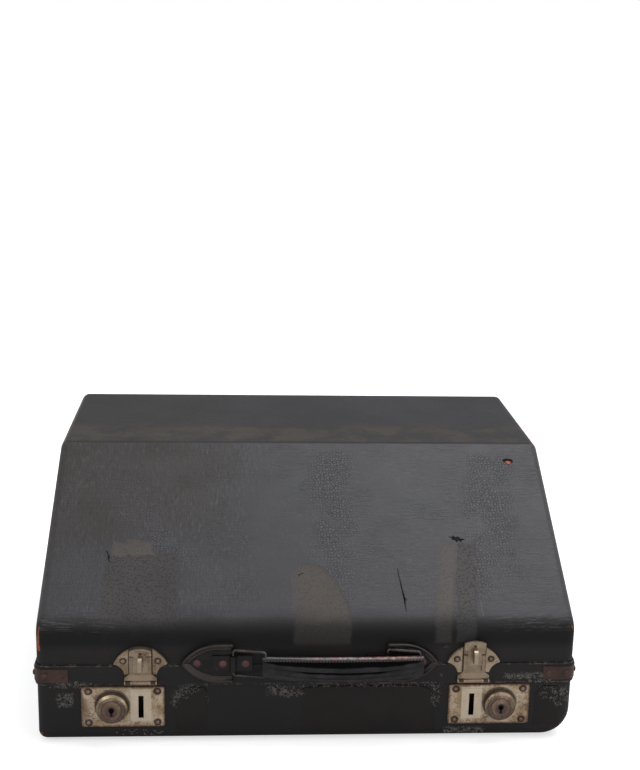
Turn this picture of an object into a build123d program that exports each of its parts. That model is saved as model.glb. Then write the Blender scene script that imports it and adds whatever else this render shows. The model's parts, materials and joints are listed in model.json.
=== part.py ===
from build123d import *
import os

os.makedirs("parts", exist_ok=True)

# Accordion case: a low tray with a wedge-shaped lid hinged at the back.
# Millimetres. The origin is on the ground, under the middle of the case.
# +X is the case's right as its locks face the viewer, +Y its back, +Z up.

# ---------------------------------------------------------------- the box
case_width = 520.0
case_depth = 420.0
base_height = 59.0          # tray, from its underside to the seam
lid_front_height = 60.0     # seam to the shoulder where the slope begins
lid_back_height = 180.0     # seam to the flat top
top_depth = 209.0           # flat top, from the back to the ridge
wall = 5.5                  # plywood with its cloth
edge_radius = 9.0           # upright corners and the lid's long edges
shoulder_radius = 19.0
ridge_radius = 10.0
heel_radius = 8.0           # tray's left end, where it turns under
worn_heel_radius = 28.0     # its right end is rubbed much rounder
glue_line = 0.1
lining_thickness = 3.0
glide_height = 3.0
glide_radius = 7.0
glide_inset_x = 36.0
glide_inset_y = 18.0

# ---------------------------------------------------------------- lip, rim and corners
lip_thickness = 2.5
lip_depth = 14.0            # how far it reaches down inside the tray
lip_height = 8.0            # how far it stands above the seam
lip_clearance = 0.5
lip_back_gap = 24.0
rim_proud = 2.0
rim_height = 20.5
seam_gap = 0.4
rim_return = 34.0           # how far the rim turns round onto the back
patch_thickness = 0.8
patch_reach = 30.5
patch_margin = 3.2          # rim left bare above and below a patch
patch_nail_ends = (8.0, 25.0)

# ---------------------------------------------------------------- nails and feet
nail_shank_radius = 1.3
nail_bite = 3.5             # how far a nail goes into the plywood
fit_gap = 0.05
nail_head_radius = 3.2
nail_head_height = 1.4
rivet_head_radius = 3.4
back_foot_height = 15.4
back_foot_radius = 14.0
back_foot_taper = 8.0
back_foot_inset = 50.0
base_foot_height_up = 29.0  # foot centres above the tray's underside
lid_foot_above_seam = 146.0

# ---------------------------------------------------------------- padded rails in the tray
bolster_width = 54.0
bolster_height = 20.0
bolster_length = 290.0
bolster_gap = 21.0          # from the rail to the side lining

# ---------------------------------------------------------------- back hinges
hinge_x = 150.0
hinge_width = 50.0
hinge_leaf_height = 30.0
hinge_leaf_thickness = 1.2
hinge_knuckle_radius = 2.3
hinge_pin_radius = 1.2
hinge_middle_knuckle = 24.4
hinge_play = 0.3
hinge_leaf_setback = 1.5

# ---------------------------------------------------------------- folding lid stays
stay_base_pivot = (120.0, -20.0)    # in from the back, and height from the seam
stay_lid_pivot = (55.0, 78.0)
stay_bar_width = 12.0
stay_bar_thickness = 2.0
stay_gap = 0.3
stay_pin_radius = 2.2
stay_head_radius = 3.8
stay_head_height = 1.0
stay_knee_play = 0.35
stay_bracket_length = 28.0
stay_bracket_height = 17.0
stay_bracket_thickness = 1.5

# ---------------------------------------------------------------- locks on the tray
lock_inset = 82.2           # plate's middle, in from the case's end
lock_width = 80.0
lock_height = 42.6
lock_top_margin = 1.5       # plate's top edge below the seam
lock_plate_thickness = 1.4
lock_corner_radius = 3.0
lock_edge = 0.5
lock_nail_x = 33.0
lock_nail_z = 16.4
lock_boss_out = 10.4        # boss centre, outboard of the plate's middle
lock_boss_lift = 0.4
lock_slot_in = 17.2         # slot centre, inboard of the plate's middle
lock_slot_width = 5.0
lock_slot_height = 23.2
lock_panel_width = 21.0
lock_panel_height = 33.0
lock_panel_rise = 0.35
lock_box_nail_gap = 1.6     # between the box and the nails beside it
lock_box_height = 37.0
lock_box_depth = 18.0
lock_box_wall = 1.0
lock_box_play = 0.5

# ---------------------------------------------------------------- push button and key plug
boss_radius = 15.0
boss_play = 0.3
boss_proud = 8.5
boss_step_radius = 12.4
boss_edge = 1.6
boss_flange_radius = 16.2
boss_flange_thickness = 1.2
boss_stem_radius = 9.0
boss_stem_length = 6.5
button_travel = 2.6
plug_radius = 9.6
plug_proud = 0.8
plug_disc_thickness = 2.4
plug_shaft_radius = 4.0
plug_tail_radius = 5.2
plug_tail_thickness = 1.2
plug_play = 0.08
crank_radius = 3.5
crank_pin_radius = 0.9
crank_pin_length = 5.8
crank_start = 45.0          # crank angle before and after the quarter turn
keyhole_radius = 2.6
keyhole_bit = 2.3
keyhole_length = 5.7
keyhole_depth = 5.0

# ---------------------------------------------------------------- locking bolt
bolt_height = 3.8
bolt_thickness = 3.2
bolt_behind_plate = 0.4
bolt_throw = 4.95
bolt_past_staple = 0.5
bolt_tail_depth = 11.0
bolt_tail_thickness = 1.4
bolt_tail_height = 12.0
bolt_tail_margin = 3.4
bolt_slot_play = 0.35
bolt_web = 1.6

# ---------------------------------------------------------------- hasps on the lid
hasp_axis_above_seam = 3.6
hasp_axis_out = 4.6         # hinge line in front of the case's front
hasp_knuckle_radius = 2.0
hasp_pin_radius = 1.0
hasp_middle_knuckle = 16.0
hasp_play = 0.2
fan_front = 3.4             # face of the fan plate in front of the case
fan_neck_width = 31.0
fan_neck_top = 6.0
fan_tip_x = 25.5
fan_tip_height = 18.4
fan_tip_thickness = 1.3
fan_top = 36.4
fan_edge = 0.7
fan_bead_width = 1.8
fan_bead_rise = 0.8
fan_rivet_x = 16.5
fan_rivet_height = 22.6
leaf_width = 21.0
leaf_gap = 0.3
leaf_thickness = 1.0
leaf_flare_bottom = 2.7
leaf_flare_top = 5.6
leaf_neck_start = 9.6
leaf_top = 33.6
rail_wall = 0.9
rail_lip = 2.2
rail_lip_thickness = 0.7
rail_start = 10.6
rail_top = 27.6
slide_gap = 0.1
slide_side_play = 0.2
slide_flange_thickness = 0.9
slide_start = 11.0
slide_travel = 6.0
head_bead_rise = 0.6
head_hole_radius = 1.2
head_hole_height = 31.2
staple_thickness = 3.8
staple_start = 15.0
staple_end = 29.2
staple_reach = 15.0         # tip in front of the case with the hasp up
staple_tip_radius = 4.0
staple_heel_radius = 1.5
staple_leg = 2.0
staple_bridge = 1.7
staple_window_depth = 4.2

# ---------------------------------------------------------------- carrying handle
handle_centre_x = 1.9
handle_above_seam = 23.4
handle_fan_gap = 10.85       # from a chape's tip to the fan plate beside it, handle centred
ring_bar_out = 4.8
ring_wire_radius = 1.4
ring_length = 31.0          # sideways, bar to bar, as the handle lies
ring_rise = 6.2             # outward, bar to bar, as the handle lies
ring_lift = 1.2             # ring's middle above the chapes' middle
ring_leg_offset = 13.0
ring_corner_radius = 2.6
chape_base_front = 3.1
chape_half_height = 20.0
chape_straight = 13.0
chape_bulge = (37.0, 13.3)
chape_length = 50.0
chape_bead_width = 3.2
chape_bead_front = 5.2
tongue_half_height = 8.0
tongue_out = 20.0
tongue_in = 18.5
tongue_thickness = 1.6
tongue_play = 0.3
chape_rivets = (34.5, 9.7, -11.9)
grip_end = 3.2              # leather beyond the ring bar
grip_back = 8.4
grip_front = 15.4
grip_body_top = 10.6
grip_body_bottom = 9.4
grip_drop_end = 10.6
grip_drop_middle = 16.6
grip_flange_back = 12.9
grip_tunnel_play = 0.3
grip_core_back = 10.6
grip_core_front = 13.2
grip_core_top = 7.6
grip_core_bottom = -1.5
grip_core_short = 14.25     # core's end, short of the ring bar

# ---------------------------------------------------------------- places worked out from these
half_width = case_width / 2
half_depth = case_depth / 2
front_y = -half_depth
back_y = half_depth
tray_z = glide_height
seam_z = tray_z + base_height
shoulder_z = seam_z + lid_front_height
top_z = seam_z + lid_back_height
ridge_y = back_y - top_depth
lining_x = half_width - wall - glue_line - lining_thickness
rim_top_z = seam_z + rim_height
hinge_y = back_y + hinge_leaf_thickness + hinge_knuckle_radius
lock_x = half_width - lock_inset
lock_z = seam_z - lock_top_margin - lock_height / 2
lock_box_width = 2 * (lock_nail_x - nail_shank_radius - lock_box_nail_gap)
boss_x = lock_x + lock_boss_out
boss_z = lock_z + lock_boss_lift
hasp_x = lock_x - lock_slot_in
hasp_z = seam_z + hasp_axis_above_seam
handle_z = seam_z + handle_above_seam
chape_spacing = 2 * (hasp_x - fan_tip_x - chape_length - handle_fan_gap)    # bar to bar on the lid
grip_core_reach = chape_spacing / 2 - grip_core_short
leaf_back = fan_front + leaf_gap
leaf_front = leaf_back + leaf_thickness
slide_back = leaf_front + slide_gap
flange_front = slide_back + slide_flange_thickness
rail_front = flange_front + slide_gap + rail_lip_thickness
fan_arc_radius = (fan_tip_x**2 + (fan_top - fan_tip_height - fan_tip_thickness) ** 2) / (
    2 * (fan_top - fan_tip_height - fan_tip_thickness)
)
fan_arc_centre = fan_top - fan_arc_radius
bolt_z = hasp_z - (staple_start + staple_end + slide_travel) / 2
SIDES = ((-1, "left"), (1, "right"))


def front_plane(x, out, z):
    """A plane facing out of the case's front, `out` in front of it."""
    return Plane(origin=(x, front_y - out, z), x_dir=(1, 0, 0), z_dir=(0, -1, 0))


def back_plane(x, out, z):
    """A plane facing out of the case's back, `out` behind it."""
    return Plane(origin=(x, back_y + out, z), x_dir=(-1, 0, 0), z_dir=(0, 1, 0))


def side_plane(side, out, y, z):
    """A plane facing out of the case's left or right end."""
    return Plane(origin=(side * (half_width + out), y, z), x_dir=(0, side, 0), z_dir=(side, 0, 0))


def rod_along_x(start, length, y, z, radius):
    """A round rod along X."""
    with BuildPart() as rod:
        with BuildSketch(Plane.YZ.offset(start)):
            with Locations((y, z)):
                Circle(radius)
        extrude(amount=length)
    return rod.part


def save(name, part):
    """Label a finished piece and write its file."""
    part.label = name
    export_step(part, f"parts/{name}.step")


# ---------------------------------------------------------------- nails and rivets
def domed_nail(head_radius, shank_length):
    """A nail with a domed head on the plane it is driven into."""
    with BuildPart() as nail:
        with BuildSketch(Plane.XZ):
            with BuildLine():
                Polyline(
                    (0, nail_head_height), (0, -shank_length), (nail_shank_radius, -shank_length),
                    (nail_shank_radius, 0), (head_radius, 0), (head_radius, nail_head_height / 3),
                )
                TangentArc((0, nail_head_height), (head_radius, nail_head_height / 3), tangent=(1, 0))
            make_face()
        revolve(axis=Axis.Z)
    return nail.part


def nail_group(name, seats, head_radius=nail_head_radius):
    """One node of equal nails, each on its (plane, distance to the plywood)."""
    with BuildPart() as group:
        for plane, depth in seats:
            nail = domed_nail(head_radius, depth + nail_bite)
            with Locations(plane):
                add(nail)
    save(name, group.part)


def nail_holes(seats):
    """Cut the holes that a group of nails passes through."""
    for plane, depth in seats:
        with Locations(plane):
            Hole(nail_shank_radius + fit_gap, depth=depth + nail_bite + fit_gap)


lock_nails = [
    (front_plane(side * lock_x + dx, lock_plate_thickness, lock_z + dz), lock_plate_thickness)
    for side, _ in SIDES
    for dx in (-lock_nail_x, lock_nail_x)
    for dz in (-lock_nail_z, lock_nail_z)
]
fan_rivets = [
    (front_plane(side * hasp_x + dx, fan_front, hasp_z + fan_rivet_height), fan_front)
    for side, _ in SIDES
    for dx in (-fan_rivet_x, fan_rivet_x)
]


def chape_rivet_seat(side, outward):
    """A chape's rivet: on the tongue where that reaches, and else on the shield."""
    x = handle_centre_x + side * (chape_spacing / 2 + outward)
    seat = chape_base_front + tongue_thickness if outward < tongue_out else chape_base_front
    return (front_plane(x, seat, handle_z), seat)


chape_rivet_seats = [chape_rivet_seat(side, outward) for side, _ in SIDES for outward in chape_rivets]
patch_out = rim_proud + patch_thickness
patch_nail_z = seam_z + rim_height / 2
corner_nails = []
for side, _ in SIDES:
    for reach in patch_nail_ends:
        x = side * (half_width - reach)
        corner_nails.append((front_plane(x, patch_out, patch_nail_z), patch_out))
        corner_nails.append((back_plane(x, patch_out, patch_nail_z), patch_out))
        for end in (-1, 1):
            y = end * (half_depth - reach)
            corner_nails.append((side_plane(side, patch_out, y, patch_nail_z), patch_out))
hinge_nail_drop = hinge_leaf_height * 0.6
hinge_nails_base = [
    (back_plane(side * hinge_x + dx, hinge_leaf_thickness, seam_z - hinge_nail_drop), hinge_leaf_thickness)
    for side, _ in SIDES
    for dx in (-hinge_width / 3, 0, hinge_width / 3)
]
hinge_nails_lid = [
    (back_plane(side * hinge_x + dx, hinge_leaf_thickness, seam_z + hinge_nail_drop), hinge_leaf_thickness)
    for side, _ in SIDES
    for dx in (-hinge_width / 3, 0, hinge_width / 3)
]


# ---------------------------------------------------------------- tray
def tray_block(inset, top, bottom=0.0):
    """The tray's outside shape drawn in by `inset`, up to the height `top`."""
    left = -half_width + inset
    right = half_width - inset
    low = tray_z + inset + bottom
    with BuildPart() as block:
        with BuildSketch(Plane.XZ.offset(-half_depth + inset)):
            with BuildLine():
                Polyline((left, top), (left, low), (right, low), (right, top), close=True)
            make_face()
            fillet(vertices().group_by(Axis.Y)[0].sort_by(Axis.X)[0], radius=max(heel_radius - inset, 1.0))
            fillet(vertices().group_by(Axis.Y)[0].sort_by(Axis.X)[-1], radius=worn_heel_radius - inset)
        extrude(amount=case_depth - 2 * inset)
        if edge_radius - inset > 1.0:
            ends = edges().group_by(Axis.Y)
            turned = ends[0].sort_by(Axis.Z)[:-1] + ends[-1].sort_by(Axis.Z)[:-1]
            fillet(turned, radius=edge_radius - inset)
    return block.part


def lock_recess(side, play, depth):
    """The box-shaped space that a lock's case needs behind the front."""
    with BuildPart() as recess:
        with BuildSketch(front_plane(side * lock_x, -depth, lock_z)):
            Rectangle(lock_box_width + 2 * play, lock_box_height + 2 * play)
        extrude(amount=depth + 1.0)
    return recess.part


lock_recesses = [lock_recess(side, lock_box_play, lock_box_depth + lock_box_play) for side, _ in SIDES]
tray_cavity = tray_block(wall, seam_z + 1.0)
with BuildPart() as base_shell:
    add(tray_block(0.0, seam_z))
    add(tray_cavity, mode=Mode.SUBTRACT)
    for recess in lock_recesses:
        add(recess, mode=Mode.SUBTRACT)
    nail_holes(lock_nails)
    nail_holes(hinge_nails_base)
save("base_shell", base_shell.part)

lip_low_z = seam_z - lip_depth
lining_inner = tray_block(wall + glue_line + lining_thickness, seam_z)
with BuildPart() as base_lining:
    add(tray_block(wall + glue_line, lip_low_z - seam_gap))
    add(lining_inner, mode=Mode.SUBTRACT)
    for recess in lock_recesses:
        add(recess, mode=Mode.SUBTRACT)
save("base_lining", base_lining.part)

lip_corner_radius = edge_radius - wall
with BuildPart() as base_lip:
    with BuildSketch(Plane.XY.offset(lip_low_z)):
        RectangleRounded(
            case_width - 2 * (wall + glue_line), case_depth - 2 * (wall + glue_line), lip_corner_radius
        )
        lip_inner_inset = 2 * (wall + lip_thickness)
        Rectangle(case_width - lip_inner_inset, case_depth - lip_inner_inset, mode=Mode.SUBTRACT)
    extrude(amount=lip_depth)
    with BuildSketch(Plane.XY.offset(seam_z)):
        lip_outer_inset = 2 * (wall + lip_clearance)
        RectangleRounded(case_width - lip_outer_inset, case_depth - lip_outer_inset, lip_corner_radius)
        Rectangle(case_width - lip_inner_inset, case_depth - lip_inner_inset, mode=Mode.SUBTRACT)
    extrude(amount=lip_height)
    with BuildSketch(Plane.XY.offset(lip_low_z - 1.0)):
        with Locations((0, back_y)):
            Rectangle(case_width, 2 * (wall + lip_back_gap))
    extrude(amount=lip_depth + lip_height + 2.0, mode=Mode.SUBTRACT)
    for recess in lock_recesses:
        add(recess, mode=Mode.SUBTRACT)
    lip_top_edges = edges().group_by(Axis.Z)[-1].filter_by(lambda edge: edge.length > lip_back_gap)
    chamfer(lip_top_edges.group_by(SortBy.LENGTH)[-1].sort_by(Axis.Y)[0], length=0.8)
save("base_lip", base_lip.part)

bolster_x = lining_x - bolster_gap - bolster_width / 2
floor_z = tray_z + wall + glue_line + lining_thickness
for side, hand in SIDES:
    with BuildPart() as bolster:
        with BuildSketch(Plane.XY.offset(floor_z + glue_line)):
            with Locations((side * bolster_x, 0)):
                RectangleRounded(bolster_width, bolster_length, 10.0)
        extrude(amount=bolster_height)
        fillet(edges().group_by(Axis.Z)[-1], radius=7.0)
    save(f"bolster_{hand}", bolster.part)

with BuildPart() as bottom_glides:
    with BuildSketch(Plane.XY):
        with GridLocations(case_width - 2 * glide_inset_x, case_depth - 2 * glide_inset_y, 2, 2):
            Circle(glide_radius)
    extrude(amount=glide_height)
    chamfer(edges().group_by(Axis.Z)[0], length=1.0)
save("bottom_glides", bottom_glides.part)


def back_foot(centre_z):
    """Two tapered rubber feet that the case stands on when its handle is up."""
    with BuildPart() as feet:
        for side, _ in SIDES:
            with BuildSketch(back_plane(side * (half_width - back_foot_inset), 0, centre_z)):
                Circle(back_foot_radius)
            extrude(amount=back_foot_height, taper=back_foot_taper)
        fillet(edges().filter_by(GeomType.CIRCLE).group_by(Axis.Y)[-1], radius=2.5)
        for side, _ in SIDES:
            with Locations(back_plane(side * (half_width - back_foot_inset), back_foot_height, centre_z)):
                CounterBoreHole(nail_shank_radius, nail_head_radius + 0.6, 5.0, depth=back_foot_height)
    return feet.part


save("back_feet_base", back_foot(tray_z + base_foot_height_up))
save("back_feet_lid", back_foot(seam_z + lid_foot_above_seam))


# ---------------------------------------------------------------- wedge lid
def wedge_block(inset, bottom):
    """The lid's outside shape drawn in by `inset`, from the height `bottom` up."""
    with BuildPart() as block:
        with BuildSketch(Plane.YZ.offset(-half_width + inset)):
            with BuildLine():
                Polyline(
                    (front_y, bottom - inset), (front_y, shoulder_z), (ridge_y, top_z),
                    (back_y, top_z), (back_y, bottom - inset), close=True,
                )
            make_face()
            if inset:
                offset(amount=-inset, kind=Kind.INTERSECTION)
            fillet(vertices().sort_by(Axis.Y)[2], radius=max(shoulder_radius - inset, 1.0))
            fillet(vertices().group_by(Axis.Y)[-1].sort_by(Axis.X)[0], radius=max(ridge_radius - inset, 1.0))
            fillet(vertices().group_by(Axis.Y)[-1].sort_by(Axis.X)[-1], radius=max(edge_radius - inset, 1.0))
        extrude(amount=case_width - 2 * inset)
        if edge_radius - inset > 1.0:
            ends = edges().group_by(Axis.X)
            turned = ends[0].sort_by(Axis.Z)[1:] + ends[-1].sort_by(Axis.Z)[1:]
            fillet(turned, radius=edge_radius - inset)
    return block.part


with BuildPart() as lid_shell:
    add(wedge_block(0.0, seam_z + seam_gap))
    add(wedge_block(wall, seam_z - 1.0), mode=Mode.SUBTRACT)
    nail_holes(fan_rivets)
    nail_holes(chape_rivet_seats)
    nail_holes(corner_nails)
    nail_holes(hinge_nails_lid)
save("lid_shell", lid_shell.part)

lid_lining_z = seam_z + lip_height + 1.5
with BuildPart() as lid_lining:
    add(wedge_block(wall + glue_line, lid_lining_z))
    add(wedge_block(wall + glue_line + lining_thickness, lid_lining_z - 1.0), mode=Mode.SUBTRACT)
save("lid_lining", lid_lining.part)


def rim_ring(inner, outer, low, high):
    """A band round the case between two outlines, each its distance outside the walls."""
    with BuildPart() as ring:
        with BuildSketch(Plane.XY.offset(low)):
            RectangleRounded(case_width + 2 * outer, case_depth + 2 * outer, edge_radius + outer)
            RectangleRounded(
                case_width + 2 * inner, case_depth + 2 * inner, edge_radius + inner, mode=Mode.SUBTRACT
            )
        extrude(amount=high - low)
    return ring.part


with BuildPart() as lid_rim:
    add(rim_ring(fit_gap, rim_proud, seam_z + seam_gap, rim_top_z))
    with BuildSketch(Plane.XY.offset(seam_z)):
        with Locations((0, back_y)):
            Rectangle(case_width - 2 * rim_return, 4 * rim_proud)
    extrude(amount=rim_height + 1.0, mode=Mode.SUBTRACT)
    chamfer(edges().group_by(Axis.Z)[-1].filter_by(lambda edge: edge.length > rim_return / 2), length=0.6)
    nail_holes(corner_nails)
save("lid_rim", lid_rim.part)

patch_low_z = seam_z + seam_gap + patch_margin
patch_band = rim_ring(rim_proud + fit_gap, patch_out, patch_low_z, rim_top_z - patch_margin)
for side, hand in SIDES:
    for end, place in ((-1, "front"), (1, "back")):
        with BuildPart() as corner_patch:
            with BuildSketch(Plane.XY.offset(seam_z)):
                with Locations((side * half_width, end * half_depth)):
                    RectangleRounded(2 * patch_reach, 2 * patch_reach, 3.0)
            extrude(amount=rim_height)
            add(patch_band, mode=Mode.INTERSECT)
            nail_holes(corner_nails)
        save(f"corner_patch_{place}_{hand}", corner_patch.part)
nail_group("corner_nails", corner_nails, head_radius=2.8)


# ---------------------------------------------------------------- back hinges
def hinge_leaf(side, up):
    """One leaf with its knuckles: the lid's leaf (up = 1) or the tray's (up = -1)."""
    middle = hinge_middle_knuckle / 2
    outer = (hinge_width / 2 - middle - hinge_play) / 2
    if up > 0:
        knuckles = ((0.0, 2 * middle),)
    else:
        knuckles = tuple((s * (middle + hinge_play + outer), 2 * outer) for s in (-1, 1))
    leaf_middle = up * (hinge_leaf_setback + hinge_leaf_height) / 2
    with BuildPart() as leaf:
        with BuildSketch(back_plane(side * hinge_x, fit_gap, seam_z + leaf_middle)):
            Rectangle(hinge_width, hinge_leaf_height - hinge_leaf_setback)
        extrude(amount=hinge_leaf_thickness - fit_gap)
        outer_corners = edges().filter_by(Axis.Y).group_by(Axis.Z)
        fillet(outer_corners[-1] if up > 0 else outer_corners[0], radius=6.0)
        for centre, length in knuckles:
            start = side * hinge_x + centre - length / 2
            with BuildSketch(Plane.YZ.offset(start)):
                with Locations((hinge_y, seam_z)):
                    Circle(hinge_knuckle_radius)
                root = hinge_leaf_setback + 0.5
                with Locations((back_y + (fit_gap + hinge_leaf_thickness) / 2, seam_z + up * root / 2)):
                    Rectangle(hinge_leaf_thickness - fit_gap, root)
                with Locations((hinge_y - hinge_knuckle_radius / 2, seam_z + up * hinge_leaf_thickness / 2)):
                    Rectangle(hinge_knuckle_radius * 1.4, hinge_leaf_thickness)
            extrude(amount=length)
            with BuildSketch(Plane.YZ.offset(start - 1.0)):
                with Locations((hinge_y, seam_z)):
                    Circle(hinge_pin_radius + fit_gap)
            extrude(amount=length + 2.0, mode=Mode.SUBTRACT)
        nail_holes(hinge_nails_lid if up > 0 else hinge_nails_base)
    return leaf.part


for side, hand in SIDES:
    save(f"hinge_lid_leaf_{hand}", hinge_leaf(side, 1))
    save(f"hinge_base_leaf_{hand}", hinge_leaf(side, -1))
    with BuildPart() as hinge_pin:
        with BuildSketch(Plane.YZ.offset(side * hinge_x - hinge_width / 2 - 1.0)):
            with Locations((hinge_y, seam_z)):
                Circle(hinge_pin_radius)
        extrude(amount=hinge_width + 2.0)
    save(f"hinge_pin_{hand}", hinge_pin.part)
nail_group("hinge_nails_base", hinge_nails_base)
nail_group("hinge_nails_lid", hinge_nails_lid)


# ---------------------------------------------------------------- folding lid stays
# Each stay is a parallelogram with the hinge line: the lower bar is as long as the hinge
# is from the lid pivot, and the upper bar as long as it is from the tray pivot.
base_pivot = Vector(back_y - stay_base_pivot[0], seam_z + stay_base_pivot[1])
lid_pivot = Vector(back_y - stay_lid_pivot[0], seam_z + stay_lid_pivot[1])
hinge_point = Vector(hinge_y, seam_z)
knee = base_pivot + lid_pivot - hinge_point
bracket_face = lining_x - fit_gap
lower_bar_face = bracket_face - stay_bracket_thickness - stay_gap
upper_bar_face = lower_bar_face - stay_bar_thickness - stay_gap
inner_bar_face = upper_bar_face - stay_bar_thickness - stay_gap


def stay_disc(side, face, depth, centre, radius):
    """A round pin along X, `depth` inward from the distance `face`."""
    return rod_along_x(side * face, -side * depth, centre.X, centre.Y, radius)


def stay_bar(side, face, start, end):
    """A flat bar with round ends between two pivots."""
    middle = (start + end) / 2
    run = end - start
    turn = Vector(1, 0).get_signed_angle(run, Vector(0, 0, 1))
    with BuildPart() as bar:
        with BuildSketch(Plane.YZ.offset(side * face)):
            with Locations((middle.X, middle.Y)):
                SlotCenterToCenter(run.length, stay_bar_width, rotation=turn)
        extrude(amount=-side * stay_bar_thickness)
    return bar.part


def stay_bracket(side, pivot, pin_end):
    """A plate on the lining with the pin that its bar turns on."""
    screw_offset = stay_bracket_length / 3
    with BuildPart() as bracket:
        with BuildSketch(Plane.YZ.offset(side * bracket_face)):
            with Locations((pivot.X, pivot.Y)):
                RectangleRounded(stay_bracket_length, stay_bracket_height, 4.0)
            with Locations((pivot.X - screw_offset, pivot.Y), (pivot.X + screw_offset, pivot.Y)):
                Circle(nail_shank_radius, mode=Mode.SUBTRACT)
        extrude(amount=-side * stay_bracket_thickness)
        add(stay_disc(side, bracket_face, bracket_face - pin_end + stay_head_height, pivot, stay_pin_radius))
        add(stay_disc(side, pin_end, stay_head_height, pivot, stay_head_radius))
    return bracket.part


for side, hand in SIDES:
    lower_hole = stay_disc(side, lower_bar_face, stay_bar_thickness, base_pivot, stay_pin_radius + fit_gap)
    upper_hole = stay_disc(side, upper_bar_face, stay_bar_thickness, lid_pivot, stay_pin_radius + fit_gap)
    knee_hole = stay_disc(side, upper_bar_face, stay_bar_thickness, knee, stay_pin_radius + stay_knee_play)
    knee_pin_end = inner_bar_face + stay_gap / 2
    save(f"stay_base_bracket_{hand}", stay_bracket(side, base_pivot, upper_bar_face + stay_gap / 2))
    save(f"stay_lid_bracket_{hand}", stay_bracket(side, lid_pivot, inner_bar_face + stay_gap / 2))
    with BuildPart() as lower_bar:
        add(stay_bar(side, lower_bar_face, base_pivot, knee))
        add(lower_hole, mode=Mode.SUBTRACT)
        add(stay_disc(side, lower_bar_face, lower_bar_face - knee_pin_end, knee, stay_pin_radius))
        add(stay_disc(side, knee_pin_end, stay_head_height, knee, stay_head_radius))
    save(f"stay_lower_bar_{hand}", lower_bar.part)
    with BuildPart() as upper_bar:
        add(stay_bar(side, upper_bar_face, knee, lid_pivot))
        add(upper_hole, mode=Mode.SUBTRACT)
        add(knee_hole, mode=Mode.SUBTRACT)
    save(f"stay_upper_bar_{hand}", upper_bar.part)


# ---------------------------------------------------------------- locks
def lock_plate(side):
    """Pressed plate with the button's hole, the staple's slot and its raised panel."""
    slot_x = -side * lock_slot_in
    with BuildPart() as plate:
        with BuildSketch(front_plane(side * lock_x, fit_gap, lock_z)):
            RectangleRounded(lock_width, lock_height, lock_corner_radius)
        extrude(amount=lock_plate_thickness - fit_gap)
        chamfer(edges().group_by(Axis.Y)[0], length=lock_edge)
        with BuildSketch(front_plane(side * lock_x, fit_gap, lock_z)):
            with Locations((slot_x, 0)):
                RectangleRounded(lock_panel_width, lock_panel_height, 2.0)
        extrude(amount=lock_plate_thickness - fit_gap + lock_panel_rise)
        with BuildSketch(front_plane(side * lock_x, -1.0, lock_z)):
            with Locations((slot_x, 0)):
                Rectangle(lock_slot_width, lock_slot_height)
            with Locations((side * lock_boss_out, lock_boss_lift)):
                Circle(boss_radius + boss_play)
        extrude(amount=lock_plate_thickness + 3.0, mode=Mode.SUBTRACT)
        nail_holes(lock_nails)
    return plate.part


def lock_box(side):
    """Sheet-metal box behind the plate, open towards it."""
    with BuildPart() as box:
        with BuildSketch(front_plane(side * lock_x, -lock_box_depth, lock_z)):
            Rectangle(lock_box_width, lock_box_height)
        extrude(amount=lock_box_depth)
        with BuildSketch(front_plane(side * lock_x, lock_box_wall - lock_box_depth, lock_z)):
            Rectangle(lock_box_width - 2 * lock_box_wall, lock_box_height - 2 * lock_box_wall)
        extrude(amount=lock_box_depth, mode=Mode.SUBTRACT)
    return box.part


def turned_about_boss(side, outline):
    """Revolve an outline of (radius, distance out) about the button's axis."""
    with BuildPart() as turned:
        with BuildSketch(Plane(origin=(side * boss_x, front_y, boss_z), x_dir=(1, 0, 0), z_dir=(0, 0, 1))):
            with BuildLine():
                Polyline(*[(radius, -out) for radius, out in outline], close=True)
            make_face()
        revolve(axis=Axis((side * boss_x, front_y, boss_z), (0, 1, 0)))
    return turned.part


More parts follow.
